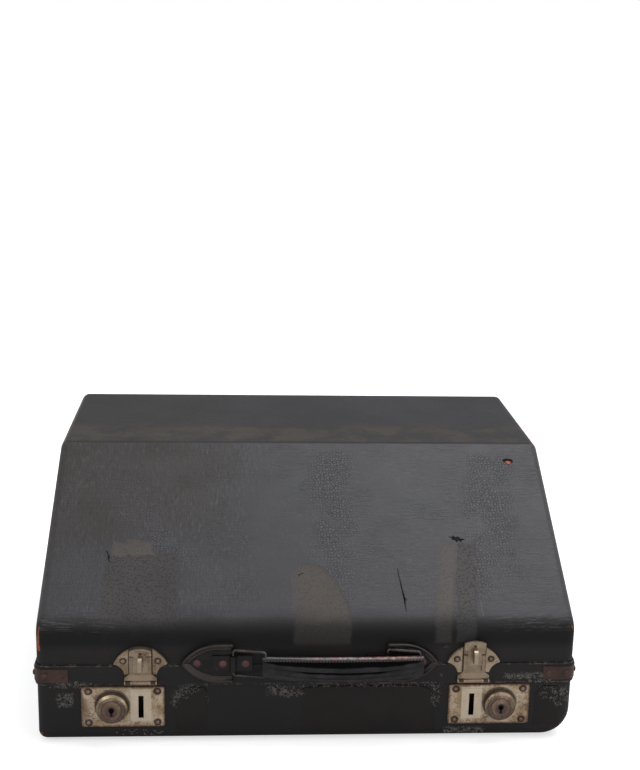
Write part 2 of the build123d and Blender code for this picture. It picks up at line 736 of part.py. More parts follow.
boss_front = lock_plate_thickness + boss_proud
plug_seat = boss_front + plug_proud - plug_disc_thickness
tail_out = -boss_stem_length - fit_gap
for side, hand in SIDES:
    save(f"lock_plate_{hand}", lock_plate(side))
    save(f"lock_box_{hand}", lock_box(side))

    bore = plug_shaft_radius + plug_play
    seat_radius = plug_radius + plug_play
    with BuildPart() as lock_button:
        add(
            turned_about_boss(
                side,
                [
                    (bore, plug_seat - plug_play), (seat_radius, plug_seat - plug_play),
                    (seat_radius, boss_front), (boss_step_radius, boss_front),
                    (boss_step_radius + 0.5, boss_front - 0.8), (boss_radius - boss_edge, boss_front - 1.2),
                    (boss_radius, boss_front - 1.2 - boss_edge), (boss_radius, -fit_gap),
                    (boss_flange_radius, -fit_gap), (boss_flange_radius, -boss_flange_thickness),
                    (boss_stem_radius, -boss_flange_thickness), (boss_stem_radius, -boss_stem_length),
                    (bore, -boss_stem_length),
                ],
            )
        )
    save(f"lock_button_{hand}", lock_button.part)

    with BuildPart() as key_plug:
        add(
            turned_about_boss(
                side,
                [
                    (0, boss_front + plug_proud), (plug_radius - 0.5, boss_front + plug_proud),
                    (plug_radius, boss_front + plug_proud - 0.5), (plug_radius, plug_seat),
                    (plug_shaft_radius, plug_seat), (plug_shaft_radius, tail_out),
                    (plug_tail_radius, tail_out), (plug_tail_radius, tail_out - plug_tail_thickness),
                    (0, tail_out - plug_tail_thickness),
                ],
            )
        )
        with BuildSketch(front_plane(side * boss_x, boss_front + plug_proud, boss_z)):
            Circle(keyhole_radius)
            with Locations((0, -keyhole_length / 2)):
                Rectangle(keyhole_bit, keyhole_length)
        extrude(amount=-keyhole_depth, mode=Mode.SUBTRACT)
        with BuildSketch(front_plane(side * boss_x, tail_out - plug_tail_thickness, boss_z)):
            with PolarLocations(crank_radius, 1, start_angle=90 - side * (90 - crank_start)):
                Circle(crank_pin_radius)
        extrude(amount=-crank_pin_length)
    save(f"key_plug_{hand}", key_plug.part)

    # The bolt's head lies behind the plate, and its tail behind the button.
    staple_x = boss_x - lock_boss_out - lock_slot_in
    tip_x = staple_x + staple_thickness / 2 + bolt_past_staple
    crank_x = boss_x + crank_radius * (2**-0.5)
    web_x = boss_x - boss_flange_radius - boss_play
    tail_outer_x = crank_x + bolt_tail_margin
    bolt_back = bolt_tail_depth + bolt_tail_thickness
    with BuildPart() as lock_bolt:
        with BuildSketch(Plane.XY.offset(bolt_z - bolt_height / 2)):
            with BuildLine():
                Polyline(
                    (side * tip_x, front_y + bolt_behind_plate),
                    (side * web_x, front_y + bolt_behind_plate),
                    (side * web_x, front_y + bolt_tail_depth),
                    (side * tail_outer_x, front_y + bolt_tail_depth),
                    (side * tail_outer_x, front_y + bolt_back),
                    (side * (web_x - bolt_web), front_y + bolt_back),
                    (side * (web_x - bolt_web), front_y + bolt_behind_plate + bolt_thickness),
                    (side * tip_x, front_y + bolt_behind_plate + bolt_thickness),
                    close=True,
                )
            make_face()
        extrude(amount=bolt_height)
        tail_inner_x = crank_x - bolt_tail_margin
        with BuildSketch(front_plane(side * (tail_inner_x + tail_outer_x) / 2, -bolt_back, boss_z)):
            Rectangle(tail_outer_x - tail_inner_x, bolt_tail_height)
        extrude(amount=bolt_tail_thickness)
        with BuildSketch(front_plane(side * crank_x, -bolt_back - 1.0, boss_z)):
            slot_radius = crank_pin_radius + bolt_slot_play
            Rectangle(2 * slot_radius, 2 * (crank_radius + slot_radius))
        extrude(amount=bolt_tail_thickness + 2.0, mode=Mode.SUBTRACT)
    save(f"lock_bolt_{hand}", lock_bolt.part)
nail_group("lock_plate_nails", lock_nails)


# ---------------------------------------------------------------- hasps
def fan_half_lines():
    """The fan plate's outline about its hinge line, as one closed line."""
    half_neck = fan_neck_width / 2
    tip_top = fan_tip_height + fan_tip_thickness
    Line((-half_neck, 0), (half_neck, 0))
    Line((half_neck, 0), (half_neck, fan_neck_top))
    TangentArc((half_neck, fan_neck_top), (fan_tip_x, fan_tip_height), tangent=(0, 1))
    Line((fan_tip_x, fan_tip_height), (fan_tip_x, tip_top))
    ThreePointArc((fan_tip_x, tip_top), (0, fan_top), (-fan_tip_x, tip_top))
    Line((-fan_tip_x, tip_top), (-fan_tip_x, fan_tip_height))
    TangentArc((-half_neck, fan_neck_top), (-fan_tip_x, fan_tip_height), tangent=(0, 1))
    Line((-half_neck, fan_neck_top), (-half_neck, 0))


def hasp_barrel(x, start, length, radius):
    """A round length along the hasp's hinge line."""
    return rod_along_x(x + start, length, front_y - hasp_axis_out, hasp_z, radius)


def arc_band(low, rise):
    """Sketch a band along the fan's arc, above the height `low` and `rise` inside its edge."""
    with Locations((0, fan_arc_centre)):
        Circle(fan_arc_radius)
        Circle(fan_arc_radius - rise, mode=Mode.SUBTRACT)
    with Locations((0, low + fan_top)):
        Rectangle(4 * fan_tip_x, 2 * fan_top, mode=Mode.INTERSECT)


def fan_plate(side):
    """Fan-shaped pressed plate with the hasp's two fixed knuckles."""
    x = side * hasp_x
    middle = hasp_middle_knuckle / 2 + hasp_play
    knuckle_length = fan_neck_width / 2 - middle
    with BuildPart() as plate:
        with BuildSketch(front_plane(x, fit_gap, hasp_z)):
            with BuildLine():
                fan_half_lines()
            make_face()
        extrude(amount=fan_front - fit_gap)
        chamfer(edges().group_by(Axis.Y)[0].sort_by(Axis.Z)[1:], length=fan_edge)
        with BuildSketch(front_plane(x, fan_front - 0.2, hasp_z)):
            arc_band(fan_tip_height + 2.0, fan_bead_width)
            with Locations((0, fan_top)):
                Rectangle(leaf_width + 2 * leaf_gap, fan_top, mode=Mode.SUBTRACT)
        extrude(amount=fan_bead_rise + 0.2)
        with BuildSketch(front_plane(x, 0, seam_z)):
            Rectangle(4 * fan_tip_x, 2 * (rim_height + fit_gap))
        extrude(amount=rim_proud + fit_gap, mode=Mode.SUBTRACT)
        for start in (-fan_neck_width / 2, middle):
            add(hasp_barrel(x, start, knuckle_length, hasp_knuckle_radius))
        add(hasp_barrel(x, -middle, 2 * middle, hasp_knuckle_radius + hasp_play), mode=Mode.SUBTRACT)
        pin_hole = hasp_barrel(x, -fan_neck_width, 2 * fan_neck_width, hasp_pin_radius + fit_gap)
        add(pin_hole, mode=Mode.SUBTRACT)
        nail_holes(fan_rivets)
    return plate.part


def hasp_leaf(side):
    """The swinging leaf: a flared foot at the hinge and a channel that the slide runs in."""
    x = side * hasp_x
    half_foot = fan_neck_width / 2 - hasp_play
    half = leaf_width / 2
    half_knuckle = hasp_middle_knuckle / 2
    with BuildPart() as leaf:
        with BuildSketch(front_plane(x, leaf_back, hasp_z)):
            with BuildLine():
                Polyline(
                    (0, 0), (half_knuckle, 0), (half_knuckle, leaf_flare_bottom),
                    (half_foot, leaf_flare_bottom), (half_foot, leaf_flare_top), (half, leaf_neck_start),
                    (half, leaf_top), (0, leaf_top), close=True,
                )
            make_face()
            mirror(about=Plane.YZ)
        extrude(amount=leaf_thickness)
        for edge_side in (-1, 1):
            rail_middle = (rail_start + rail_top) / 2
            with BuildSketch(front_plane(x, leaf_front - 0.1, hasp_z)):
                with Locations((edge_side * (half - rail_wall / 2), rail_middle)):
                    Rectangle(rail_wall, rail_top - rail_start)
            extrude(amount=rail_front - leaf_front + 0.1)
            with BuildSketch(front_plane(x, rail_front - rail_lip_thickness, hasp_z)):
                with Locations((edge_side * (half - (rail_wall + rail_lip) / 2), rail_middle)):
                    Rectangle(rail_wall + rail_lip, rail_top - rail_start)
            extrude(amount=rail_lip_thickness)
        add(hasp_barrel(x, -half_knuckle, hasp_middle_knuckle, hasp_knuckle_radius))
        pin_hole = hasp_barrel(x, -fan_neck_width, 2 * fan_neck_width, hasp_pin_radius + fit_gap)
        add(pin_hole, mode=Mode.SUBTRACT)
    return leaf.part


def hasp_slide(side, drawn_out):
    """The sliding tongue with the staple: its rounded head completes the fan's arc."""
    x = side * hasp_x
    z = hasp_z + drawn_out
    half = leaf_width / 2
    half_flange = half - rail_wall - slide_side_play
    half_stem = half - rail_wall - rail_lip - slide_side_play
    shoulder = rail_top + slide_gap
    staple_root = rail_front - 0.3
    with BuildPart() as slide:
        with BuildSketch(front_plane(x, slide_back, z)):
            with Locations((0, (slide_start + shoulder + 1.0) / 2)):
                Rectangle(2 * half_flange, shoulder + 1.0 - slide_start)
        extrude(amount=slide_flange_thickness)
        with BuildSketch(front_plane(x, slide_back, z)):
            with Locations((0, (slide_start + shoulder + 1.0) / 2)):
                Rectangle(2 * half_stem, shoulder + 1.0 - slide_start)
        extrude(amount=rail_front - slide_back)
        with BuildSketch(front_plane(x, slide_back, z)):
            with Locations((0, fan_arc_centre)):
                Circle(fan_arc_radius)
            with Locations((0, shoulder + fan_top / 2)):
                Rectangle(leaf_width, fan_top, mode=Mode.INTERSECT)
        extrude(amount=rail_front - slide_back)
        with BuildSketch(front_plane(x, rail_front - 0.2, z)):
            arc_band(shoulder, fan_bead_width)
            with Locations((0, fan_top)):
                Rectangle(leaf_width, 2 * fan_top, mode=Mode.INTERSECT)
        extrude(amount=head_bead_rise + 0.2)
        with BuildSketch(Plane.YZ.offset(x - staple_thickness / 2)):
            with Locations((front_y - (staple_root + staple_reach) / 2, z + (staple_start + staple_end) / 2)):
                Rectangle(staple_reach - staple_root, staple_end - staple_start)
            fillet(vertices().group_by(Axis.X)[0].sort_by(Axis.Y)[-1], radius=staple_tip_radius)
            fillet(vertices().group_by(Axis.Y)[0].sort_by(Axis.X)[0], radius=staple_heel_radius)
            window_y = front_y - staple_reach + staple_bridge + staple_window_depth / 2
            with Locations((window_y, z + (staple_start + staple_end) / 2)):
                Rectangle(staple_window_depth, staple_end - staple_start - 2 * staple_leg, mode=Mode.SUBTRACT)
        extrude(amount=staple_thickness)
        with Locations(front_plane(x, rail_front, z + head_hole_height)):
            Hole(head_hole_radius, depth=rail_front - slide_back)
    return slide.part


for side, hand in SIDES:
    save(f"fan_plate_{hand}", fan_plate(side))
    save(f"hasp_leaf_{hand}", hasp_leaf(side))
    # The left hasp's tongue is pushed home, and the right one is drawn out.
    save(f"hasp_slide_{hand}", hasp_slide(side, slide_travel if side > 0 else 0.0))
    save(f"hasp_pin_{hand}", hasp_barrel(side * hasp_x, -fan_neck_width / 2, fan_neck_width, hasp_pin_radius))
nail_group("fan_rivets", fan_rivets)


# ---------------------------------------------------------------- carrying handle
def chape(side):
    """Leather shield with a stitched rim and the tongue that holds the ring's bar down."""
    anchor_x = handle_centre_x + side * chape_spacing / 2
    plane = front_plane(anchor_x, fit_gap, handle_z)
    tip = (side * chape_length, 0)

    def shield_outline():
        upper = (0, chape_half_height)
        upper_turn = (side * chape_straight, chape_half_height)
        lower = (0, -chape_half_height)
        lower_turn = (side * chape_straight, -chape_half_height)
        bulge_x, bulge_z = side * chape_bulge[0], chape_bulge[1]
        Line(lower, upper)
        Line(upper, upper_turn)
        ThreePointArc(upper_turn, (bulge_x, bulge_z), tip)
        ThreePointArc(tip, (bulge_x, -bulge_z), lower_turn)
        Line(lower_turn, lower)

    with BuildPart() as shield:
        with BuildSketch(plane):
            with BuildLine():
                shield_outline()
            make_face()
        extrude(amount=chape_base_front - fit_gap)
        with BuildSketch(plane):
            with BuildLine():
                shield_outline()
            make_face()
            offset(amount=-chape_bead_width, mode=Mode.SUBTRACT)
            with Locations((0, 0)):
                inner_height = 2 * (chape_half_height - chape_bead_width)
                Rectangle(2 * chape_straight, inner_height, mode=Mode.SUBTRACT)
        extrude(amount=chape_bead_front - fit_gap)
        tongue_plane = Plane.XY.offset(handle_z - tongue_half_height)
        strap_out, strap_in = side * tongue_out, -side * tongue_in
        with BuildSketch(tongue_plane):
            strap_front = chape_base_front + tongue_thickness
            with Locations((anchor_x + (strap_out + strap_in) / 2, front_y - (fit_gap + strap_front) / 2)):
                Rectangle(tongue_out + tongue_in, strap_front - fit_gap)
            tunnel = ring_wire_radius + tongue_play
            with Locations((anchor_x, front_y - ring_bar_out)):
                Circle(tunnel + tongue_thickness)
                Circle(tunnel, mode=Mode.SUBTRACT)
        extrude(amount=2 * tongue_half_height)
        with BuildSketch(front_plane(anchor_x, 0, seam_z)):
            Rectangle(4 * chape_length, 2 * (rim_height + fit_gap))
        extrude(amount=rim_proud + fit_gap, mode=Mode.SUBTRACT)
        nail_holes(chape_rivet_seats)
    return shield.part


def wire_ring(side):
    """Bent-wire ring from its bar on the lid to its bar in the grip."""
    anchor = Vector(handle_centre_x + side * chape_spacing / 2, front_y - ring_bar_out, handle_z + ring_lift)
    across = Vector(ring_length, -ring_rise, 0)
    loop_plane = Plane(origin=anchor + across / 2, x_dir=across, z_dir=across.cross(Vector(0, 0, 1)))
    with BuildSketch(loop_plane) as loop:
        RectangleRounded(across.length, 2 * ring_leg_offset, ring_corner_radius)
    path = loop.sketch.face().outer_wire()
    with BuildPart() as ring:
        with BuildSketch(Plane(path ^ 0)):
            Circle(ring_wire_radius)
        sweep(path=path)
    return ring.part


grip_x = handle_centre_x + ring_length
bar_out = ring_bar_out + ring_rise
grip_half = chape_spacing / 2 + grip_end
with BuildPart() as handle_core:
    with BuildSketch(Plane.YZ.offset(grip_x - grip_core_reach)):
        core_middle = (grip_core_top + grip_core_bottom) / 2
        with Locations((front_y - (grip_core_back + grip_core_front) / 2, handle_z + core_middle)):
            RectangleRounded(grip_core_front - grip_core_back, grip_core_top - grip_core_bottom, 1.2)
    extrude(amount=2 * grip_core_reach)
save("handle_core", handle_core.part)

with BuildPart() as handle_grip:
    # Section: a padded roll along the top with the stitched flap hanging below it.
    with BuildSketch(Plane.YZ.offset(grip_x - grip_half)):
        roll_radius = (grip_front - grip_back) / 2
        with BuildLine():
            low = handle_z - grip_drop_middle
            Polyline(
                (front_y - grip_front + 1.4, low), (front_y - grip_flange_back, low),
                (front_y - grip_flange_back, handle_z - grip_body_bottom),
                (front_y - grip_back, handle_z - grip_body_bottom + 3.0),
                (front_y - grip_back, handle_z + grip_body_top - roll_radius),
            )
            ThreePointArc(
                (front_y - grip_back, handle_z + grip_body_top - roll_radius),
                (front_y - grip_back - roll_radius, handle_z + grip_body_top),
                (front_y - grip_front, handle_z + grip_body_top - roll_radius),
            )
            Polyline(
                (front_y - grip_front, handle_z + grip_body_top - roll_radius),
                (front_y - grip_front + 1.2, handle_z - 1.0),
                (front_y - grip_front + 0.5, handle_z - grip_body_bottom),
                (front_y - grip_front + 1.4, low),
            )
        make_face()
    extrude(amount=2 * grip_half)
    with BuildSketch(front_plane(grip_x, 0, handle_z)):
        with BuildLine():
            Polyline(
                (-grip_half, -grip_drop_end), (-grip_half, 2 * grip_body_top),
                (grip_half, 2 * grip_body_top), (grip_half, -grip_drop_end),
            )
            ThreePointArc((grip_half, -grip_drop_end), (0, -grip_drop_middle), (-grip_half, -grip_drop_end))
        make_face()
    extrude(amount=2 * grip_front, mode=Mode.INTERSECT)
    add(handle_core.part, mode=Mode.SUBTRACT)
    for side, _ in SIDES:
        with BuildSketch(Plane.XY.offset(handle_z - 2 * grip_drop_middle)):
            with Locations((grip_x + side * chape_spacing / 2, front_y - bar_out)):
                Circle(ring_wire_radius + grip_tunnel_play)
        extrude(amount=4 * grip_drop_middle, mode=Mode.SUBTRACT)
save("handle_grip", handle_grip.part)

for side, hand in SIDES:
    save(f"chape_{hand}", chape(side))
    save(f"ring_{hand}", wire_ring(side))
nail_group("chape_rivets", chape_rivet_seats, head_radius=rivet_head_radius)
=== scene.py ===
import json
import math
import random

import bmesh
import bpy
from mathutils import Matrix, Vector, noise

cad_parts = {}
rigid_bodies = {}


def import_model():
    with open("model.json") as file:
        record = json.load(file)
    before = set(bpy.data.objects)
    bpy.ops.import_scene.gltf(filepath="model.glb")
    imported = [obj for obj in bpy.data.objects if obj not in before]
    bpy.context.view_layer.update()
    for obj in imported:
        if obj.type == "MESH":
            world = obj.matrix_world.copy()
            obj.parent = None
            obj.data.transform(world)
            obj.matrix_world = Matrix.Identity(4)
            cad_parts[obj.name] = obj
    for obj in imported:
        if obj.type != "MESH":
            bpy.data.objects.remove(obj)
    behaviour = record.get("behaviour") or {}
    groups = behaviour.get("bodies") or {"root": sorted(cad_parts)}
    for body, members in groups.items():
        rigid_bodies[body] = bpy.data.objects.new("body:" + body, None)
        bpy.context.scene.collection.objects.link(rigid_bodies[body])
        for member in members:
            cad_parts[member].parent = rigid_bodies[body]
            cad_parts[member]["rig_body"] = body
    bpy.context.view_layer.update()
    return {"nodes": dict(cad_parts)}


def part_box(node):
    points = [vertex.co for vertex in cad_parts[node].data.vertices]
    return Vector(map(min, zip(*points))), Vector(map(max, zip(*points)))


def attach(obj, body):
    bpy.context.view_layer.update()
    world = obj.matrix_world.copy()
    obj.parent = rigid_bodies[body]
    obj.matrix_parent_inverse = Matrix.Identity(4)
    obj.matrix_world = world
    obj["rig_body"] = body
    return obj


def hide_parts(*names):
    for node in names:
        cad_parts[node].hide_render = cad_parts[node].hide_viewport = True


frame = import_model()

# An old accordion case: black embossed leathercloth over plywood, tarnished nickel locks,
# a leather handle on wire rings. Metres; the case's front looks towards -Y. Places and sizes
# of its parts are given in millimetres, and MM, mm() or at() makes metres of them.
MM = 0.001
FRONT = -210 * MM
NODES = frame["nodes"]
# Middles of a hasp and the slot below it, a lock plate, and a push button.
HASP_X, KNUCKLE_Z, SLOT_Z = 160.6, 66.4, 40.6
PLATE_X, PLATE_Z = 177.8, 39.2
BOSS_X, BOSS_Z = 188.2, 39.6
KEYHOLE_Z = 40.6
LOCK_NAILS = [(PLATE_X + i * 33, PLATE_Z + k * 16.4) for i in (-1, 1) for k in (-1, 1)]
FAN_RIVETS = [(HASP_X + i * 16.5, 88.2) for i in (-1, 1)]
PLUG_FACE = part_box("key_plug_left")[0].y
# The handle lies in its rest place: middle of its chapes, then the grip's middle and half
# length, the heights of its ends, and how much lower it is between them.
HANDLE_X, HANDLE_Z = 1.9, 85.4
GRIP_X, GRIP_HALF = 32.9, 77.45
GRIP_TOP, GRIP_BOTTOM = 95.9, 74.9
GRIP_SAG, GRIP_BELLY = 1.5, 5.6


def mm(*values):
    return tuple(value * MM for value in values)


def shaded(colour, share):
    return tuple(c * share for c in colour)


def link(made):
    bpy.context.scene.collection.objects.link(made)
    return made


# ---------------------------------------------------------------- camera, floor and light
def set_camera():
    pitch, yaw, roll = math.radians(14.24), math.radians(3.74), math.radians(1.34)
    flat = math.cos(pitch)
    ahead = Vector((math.sin(yaw) * flat, math.cos(yaw) * flat, -math.sin(pitch)))
    level = Vector((math.cos(yaw), -math.sin(yaw), 0))
    upright = level.cross(ahead)
    right = math.cos(roll) * level + math.sin(roll) * upright
    up = -math.sin(roll) * level + math.cos(roll) * upright
    lens = bpy.data.cameras.new("camera")
    lens.lens = 60.8
    lens.sensor_width = 36
    camera = link(bpy.data.objects.new("camera", lens))
    turned = Matrix((right, up, -ahead)).transposed().to_4x4()
    camera.matrix_world = Matrix.Translation((-0.07, -1.3572, 0.6518)) @ turned
    bpy.context.scene.camera = camera


def softbox(name, place, aim, size, power, colour=(1, 1, 1)):
    light = bpy.data.lights.new(name, "AREA")
    light.shape = "RECTANGLE"
    light.size, light.size_y = size
    light.energy = power
    light.color = colour
    lamp = link(bpy.data.objects.new(name, light))
    lamp.location = place
    lamp.rotation_euler = (Vector(aim) - Vector(place)).to_track_quat("-Z", "Y").to_euler()


# ---------------------------------------------------------------- node wiring
def operator(operation, swapped=False):
    """A method of Value that adds the maths node of its name."""

    def work(self, other=None):
        a, b = (other, self) if swapped else (self, other)
        return self.wiring.sums(operation, a, b)

    return work


class Value:
    """What a node gives out. Plain arithmetic on it adds maths nodes to its tree."""

    def __init__(self, wiring, socket):
        self.wiring, self.socket = wiring, socket

    __add__, __radd__ = operator("ADD"), operator("ADD", True)
    __sub__, __rsub__ = operator("SUBTRACT"), operator("SUBTRACT", True)
    __mul__, __rmul__ = operator("MULTIPLY"), operator("MULTIPLY", True)
    __truediv__, __rtruediv__ = operator("DIVIDE"), operator("DIVIDE", True)
    __pow__ = operator("POWER")
    __abs__ = operator("ABSOLUTE")


def is_vector(value):
    if isinstance(value, Value):
        return value.socket.type in ("VECTOR", "RGBA")
    return isinstance(value, tuple)


def most(first, *others):
    """The highest of several values."""
    for other in others:
        first = first.wiring.sums("MAXIMUM", first, other)
    return first


class Wiring:
    """Short ways of adding and joining nodes in one tree."""

    def __init__(self, tree):
        self.tree = tree

    def feed(self, socket, value):
        if isinstance(value, Value):
            self.tree.links.new(value.socket, socket)
        elif isinstance(value, tuple):
            opaque = (1.0,) * (len(socket.default_value) - len(value))
            socket.default_value = value + opaque
        elif value is not None:
            socket.default_value = value

    def node(self, kind, inputs=(), **settings):
        """A new node, its inputs fed in order, or by name from a dictionary."""
        made = self.tree.nodes.new(kind)
        for name, value in settings.items():
            setattr(made, name, value)
        for key, value in inputs.items() if isinstance(inputs, dict) else enumerate(inputs):
            self.feed(made.inputs[key], value)
        return made

    def value(self, kind, inputs=(), output=0, **settings):
        """What a new node gives out."""
        return Value(self, self.node(kind, inputs, **settings).outputs[output])

    def sums(self, operation, a, b=None):
        """A maths node, for vectors where either side is one; a vector times a number is scaled."""
        vectors = [is_vector(value) for value in (a, b) if value is not None]
        if not any(vectors):
            return self.value("ShaderNodeMath", (a, b), operation=operation)
        if operation == "MULTIPLY" and not all(vectors):
            return self.value("ShaderNodeVectorMath", {0: a, "Scale": b}, operation="SCALE")
        return self.value("ShaderNodeVectorMath", (a, b), operation=operation)

    def length(self, vector):
        return self.value("ShaderNodeVectorMath", (vector,), "Value", operation="LENGTH")

    def split(self, vector):
        parts = self.node("ShaderNodeSeparateXYZ", (vector,)).outputs
        return [Value(self, part) for part in parts]

    def joined(self, x, y, z):
        return self.value("ShaderNodeCombineXYZ", (x, y, z))

    def step(self, value, low, high, out_low=0.0, out_high=1.0):
        inputs = (value, low, high, out_low, out_high)
        return self.value("ShaderNodeMapRange", inputs, interpolation_type="SMOOTHSTEP")

    def between(self, value, low, high, soft):
        """1 where a coordinate lies between two heights in millimetres, fading over `soft`."""
        rise = self.step(value, (low - soft) * MM, (low + soft) * MM)
        return rise * self.step(value, (high - soft) * MM, (high + soft) * MM, 1.0, 0.0)

    def noise(self, vector, scale, detail=3.0, rough=0.55, output=0):
        inputs = {"Vector": vector, "Scale": scale, "Detail": detail, "Roughness": rough}
        return self.value("ShaderNodeTexNoise", inputs, output)

    def cells(self, vector, scale, feature, uneven=1.0):
        inputs = {"Vector": vector, "Scale": scale, "Randomness": uneven}
        return self.value("ShaderNodeTexVoronoi", inputs, "Distance", feature=feature)

    def mix(self, share, a, b, kind="RGBA"):
        """From colour a to colour b."""
        inputs = {"Factor": share, "A": a, "B": b}
        return self.value("ShaderNodeMix", inputs, "Result", data_type=kind)

    def blend(self, share, a, b):
        """From number a to number b."""
        return self.mix(share, a, b, "FLOAT")

    def paint(self, share, tint):
        """Lay a tint over the material's colour."""
        self.colour = self.mix(share, self.colour, tint)

    def group(self, tree, place, **inputs):
        return self.value("ShaderNodeGroup", {"Vector": place, **inputs}, node_tree=tree)


def new_group(kind, name, output, inputs):
    """The wiring of an empty node group, and its inputs in order. A text names an input's kind."""
    tree = bpy.data.node_groups.new(name, kind)
    for label, value in inputs.items():
        plain = "Int" if isinstance(value, int) else "Float"
        socket_type = "NodeSocket" + (value if isinstance(value, str) else plain)
        socket = tree.interface.new_socket(label, in_out="INPUT", socket_type=socket_type)
        if not isinstance(value, str):
            socket.default_value = value
    socket_type = "NodeSocketGeometry" if output == "Geometry" else "NodeSocketFloat"
    tree.interface.new_socket(output, in_out="OUTPUT", socket_type=socket_type)
    w = Wiring(tree)
    given = w.node("NodeGroupInput").outputs
    return w, *(Value(w, given[label]) for label in inputs)


def shader_group(name, output, **inputs):
    """The wiring of an empty shader group, the place on the piece and its other inputs."""
    return new_group("ShaderNodeTree", name, output, {"Vector": "Vector", **inputs})


def ended(w, value):
    w.node("NodeGroupOutput", (value,))
    return w.tree


def make_grain():
    """Fine pebbled grain of leather and leathercloth."""
    w, place, size = shader_group("fine_grain", "Height", Size=0.0012)
    scale = 1.0 / size
    dome = 1.0 - w.cells(place, scale, "SMOOTH_F1")
    return ended(w, dome * 0.7 + w.noise(place, scale * 0.35, 5.0) * 0.6)


def make_scales():
    """Reptile scales pressed into the cloth: even rows of small plates with grooves between."""
    w, place, size = shader_group("pressed_scales", "Height", Length=0.003)
    shifted = place + w.noise(place, 12.0, 2.0, output="Color") * 0.006
    edge = w.cells(shifted * (1.0, 0.95, 0.95), 1.0 / size, "DISTANCE_TO_EDGE", 0.7)
    return ended(w, w.step(edge, 0.01, 0.19))


def make_creases():
    """Long shallow creases pressed across the cloth, here clear and there gone."""
    w, place, spacing = shader_group("pressed_creases", "Height", Spacing=0.004)
    shifted = place + w.noise(place, 14.0, 3.0, output="Color") * 0.02
    edge = w.cells(shifted * (0.13, 1.0, 1.0), 1.0 / spacing, "DISTANCE_TO_EDGE", 0.9)
    groove = w.step(edge, 0.0, 0.07, 1.0, 0.0)
    return ended(w, groove * w.step(w.noise(place, 16.0, 3.0, 0.6), 0.42, 0.64, 0.1, 1.0))


def make_patch():
    """1 inside a box with ragged edges, leaning by Lean along X."""
    w, place, centre, half, lean, ragged, soft, grain = shader_group(
        "ragged_place", "Mask",
        Centre="Vector", Half="Vector", Lean=0.0, Ragged=0.004, Soft=0.001, Grain=90.0,
    )
    pulled = w.noise(place, grain, 4.0, 0.6, output="Color") - (0.5, 0.5, 0.5)
    x, y, z = w.split(place + pulled * (ragged * 2.0) - centre)
    sides = w.split(abs(w.joined(x - y * lean, y, z)) - half)
    return ended(w, w.step(most(*sides), soft * -1.0, soft, 1.0, 0.0))


def make_disc():
    """A round place on an upright face: 1 between Inner and Outer around Centre."""
    w, place, centre, inner, outer, soft, ragged = shader_group(
        "round_place", "Mask", Centre="Vector", Inner=0.0, Outer=0.004, Soft=0.0006, Ragged=0.0
    )
    away = (place - centre) * (1.0, 0.0, 1.0)
    torn = w.noise(place, 240.0, 3.0, 0.6) - 0.5
    reach = w.length(away) + torn * (ragged * 2.0)
    within = w.step(reach, outer - soft, outer + soft, 1.0, 0.0)
    return ended(w, within * w.step(reach, inner - soft, inner + soft))


def make_specks():
    """Scattered specks, chips and threads of what lies under a rubbed surface."""
    w, place, size, amount = shader_group("rubbed_specks", "Mask", Size=0.002, Amount=0.5)
    scale = 1.0 / size
    fine = w.noise(place, scale, 6.0, 0.72)
    both = fine * 0.65 + w.noise(place, scale * 0.16, 2.0) * 0.35
    edge = 0.72 - amount * 0.36
    return ended(w, w.step(both, edge - 0.02, edge + 0.02))


def make_scratches():
    """Fine straight scratches and creases, long where Stretch is small."""
    w, place, stretch, amount = shader_group("fine_scratches", "Mask", Stretch="Vector", Amount=0.3)
    lines = w.noise(place * stretch, 60.0, 4.0, 0.65)
    edge = 0.74 - amount * 0.2
    return ended(w, w.step(lines, edge, edge + 0.05))


GRAIN = make_grain()
SCALES = make_scales()
CREASES = make_creases()
PLACE = make_patch()
DISC = make_disc()
SPECKS = make_specks()
SCRATCHES = make_scratches()


# ---------------------------------------------------------------- materials
def start_material(name, roughness=0.5, metallic=0.0, specular=0.5):
    """The wiring of a new material, with its shader's inputs, and the position on the piece."""
    material = bpy.data.materials.new(name)
    material.use_nodes = True
    w = Wiring(material.node_tree)
    w.material = material
    w.shader = next(n for n in w.tree.nodes if n.type == "BSDF_PRINCIPLED").inputs
    w.shader["Roughness"].default_value = roughness
    w.shader["Metallic"].default_value = metallic
    w.shader["Specular IOR Level"].default_value = specular
    return w, w.value("ShaderNodeTexCoord", output="Object")


def finished(w, height, distance, rough=None, metallic=None):
    """Feed the shader, with a relief `distance` deep in metres, and give its material."""
    w.feed(w.shader["Base Color"], w.colour)
    w.feed(w.shader["Roughness"], rough)
    w.feed(w.shader["Metallic"], metallic)
    bump = {"Height": height, "Distance": distance, "Strength": 1.0}
    w.feed(w.shader["Normal"], w.value("ShaderNodeBump", bump, "Normal"))
    return w.material


# Places on the lid and tray: centre, half size, lean, ragged edge, softness.
BARE_WOOD = (
    ((-257.5, -211, 117), (1.8, 5, 20), 0.0, 3.2, 0.5),
    ((-258, -211, 7), (2.2, 5, 4), 0.0, 2.5, 0.5),
    ((258.5, -211, 120), (2.0, 5, 3.5), 0.0, 1.8, 0.4),
    ((259, 30, 241), (2.2, 34, 4), 0.0, 2.6, 0.6),
    ((-259, 4, 242), (1.6, 8, 4), 0.0, 2.0, 0.6),
    ((259, 207, 12), (4, 7, 8), 0.0, 3.0, 0.7),
    ((-259, 207, 232), (4, 5, 8), 0.0, 3.0, 0.7),
)
RUBBED_TAN = (
    ((-172, -126, 159), (20, 9, 14), 0.0, 7.0, 2.2),
    ((138, -166, 138), (8, 50, 34), 0.17, 4.0, 2.6),
)
TORN_DARK = (
    ((-165, -170, 145), (36, 36, 34), 0.0, 6.0, 4.5),
    ((158, -166, 138), (9.5, 50, 34), 0.12, 3.0, 1.8),
)
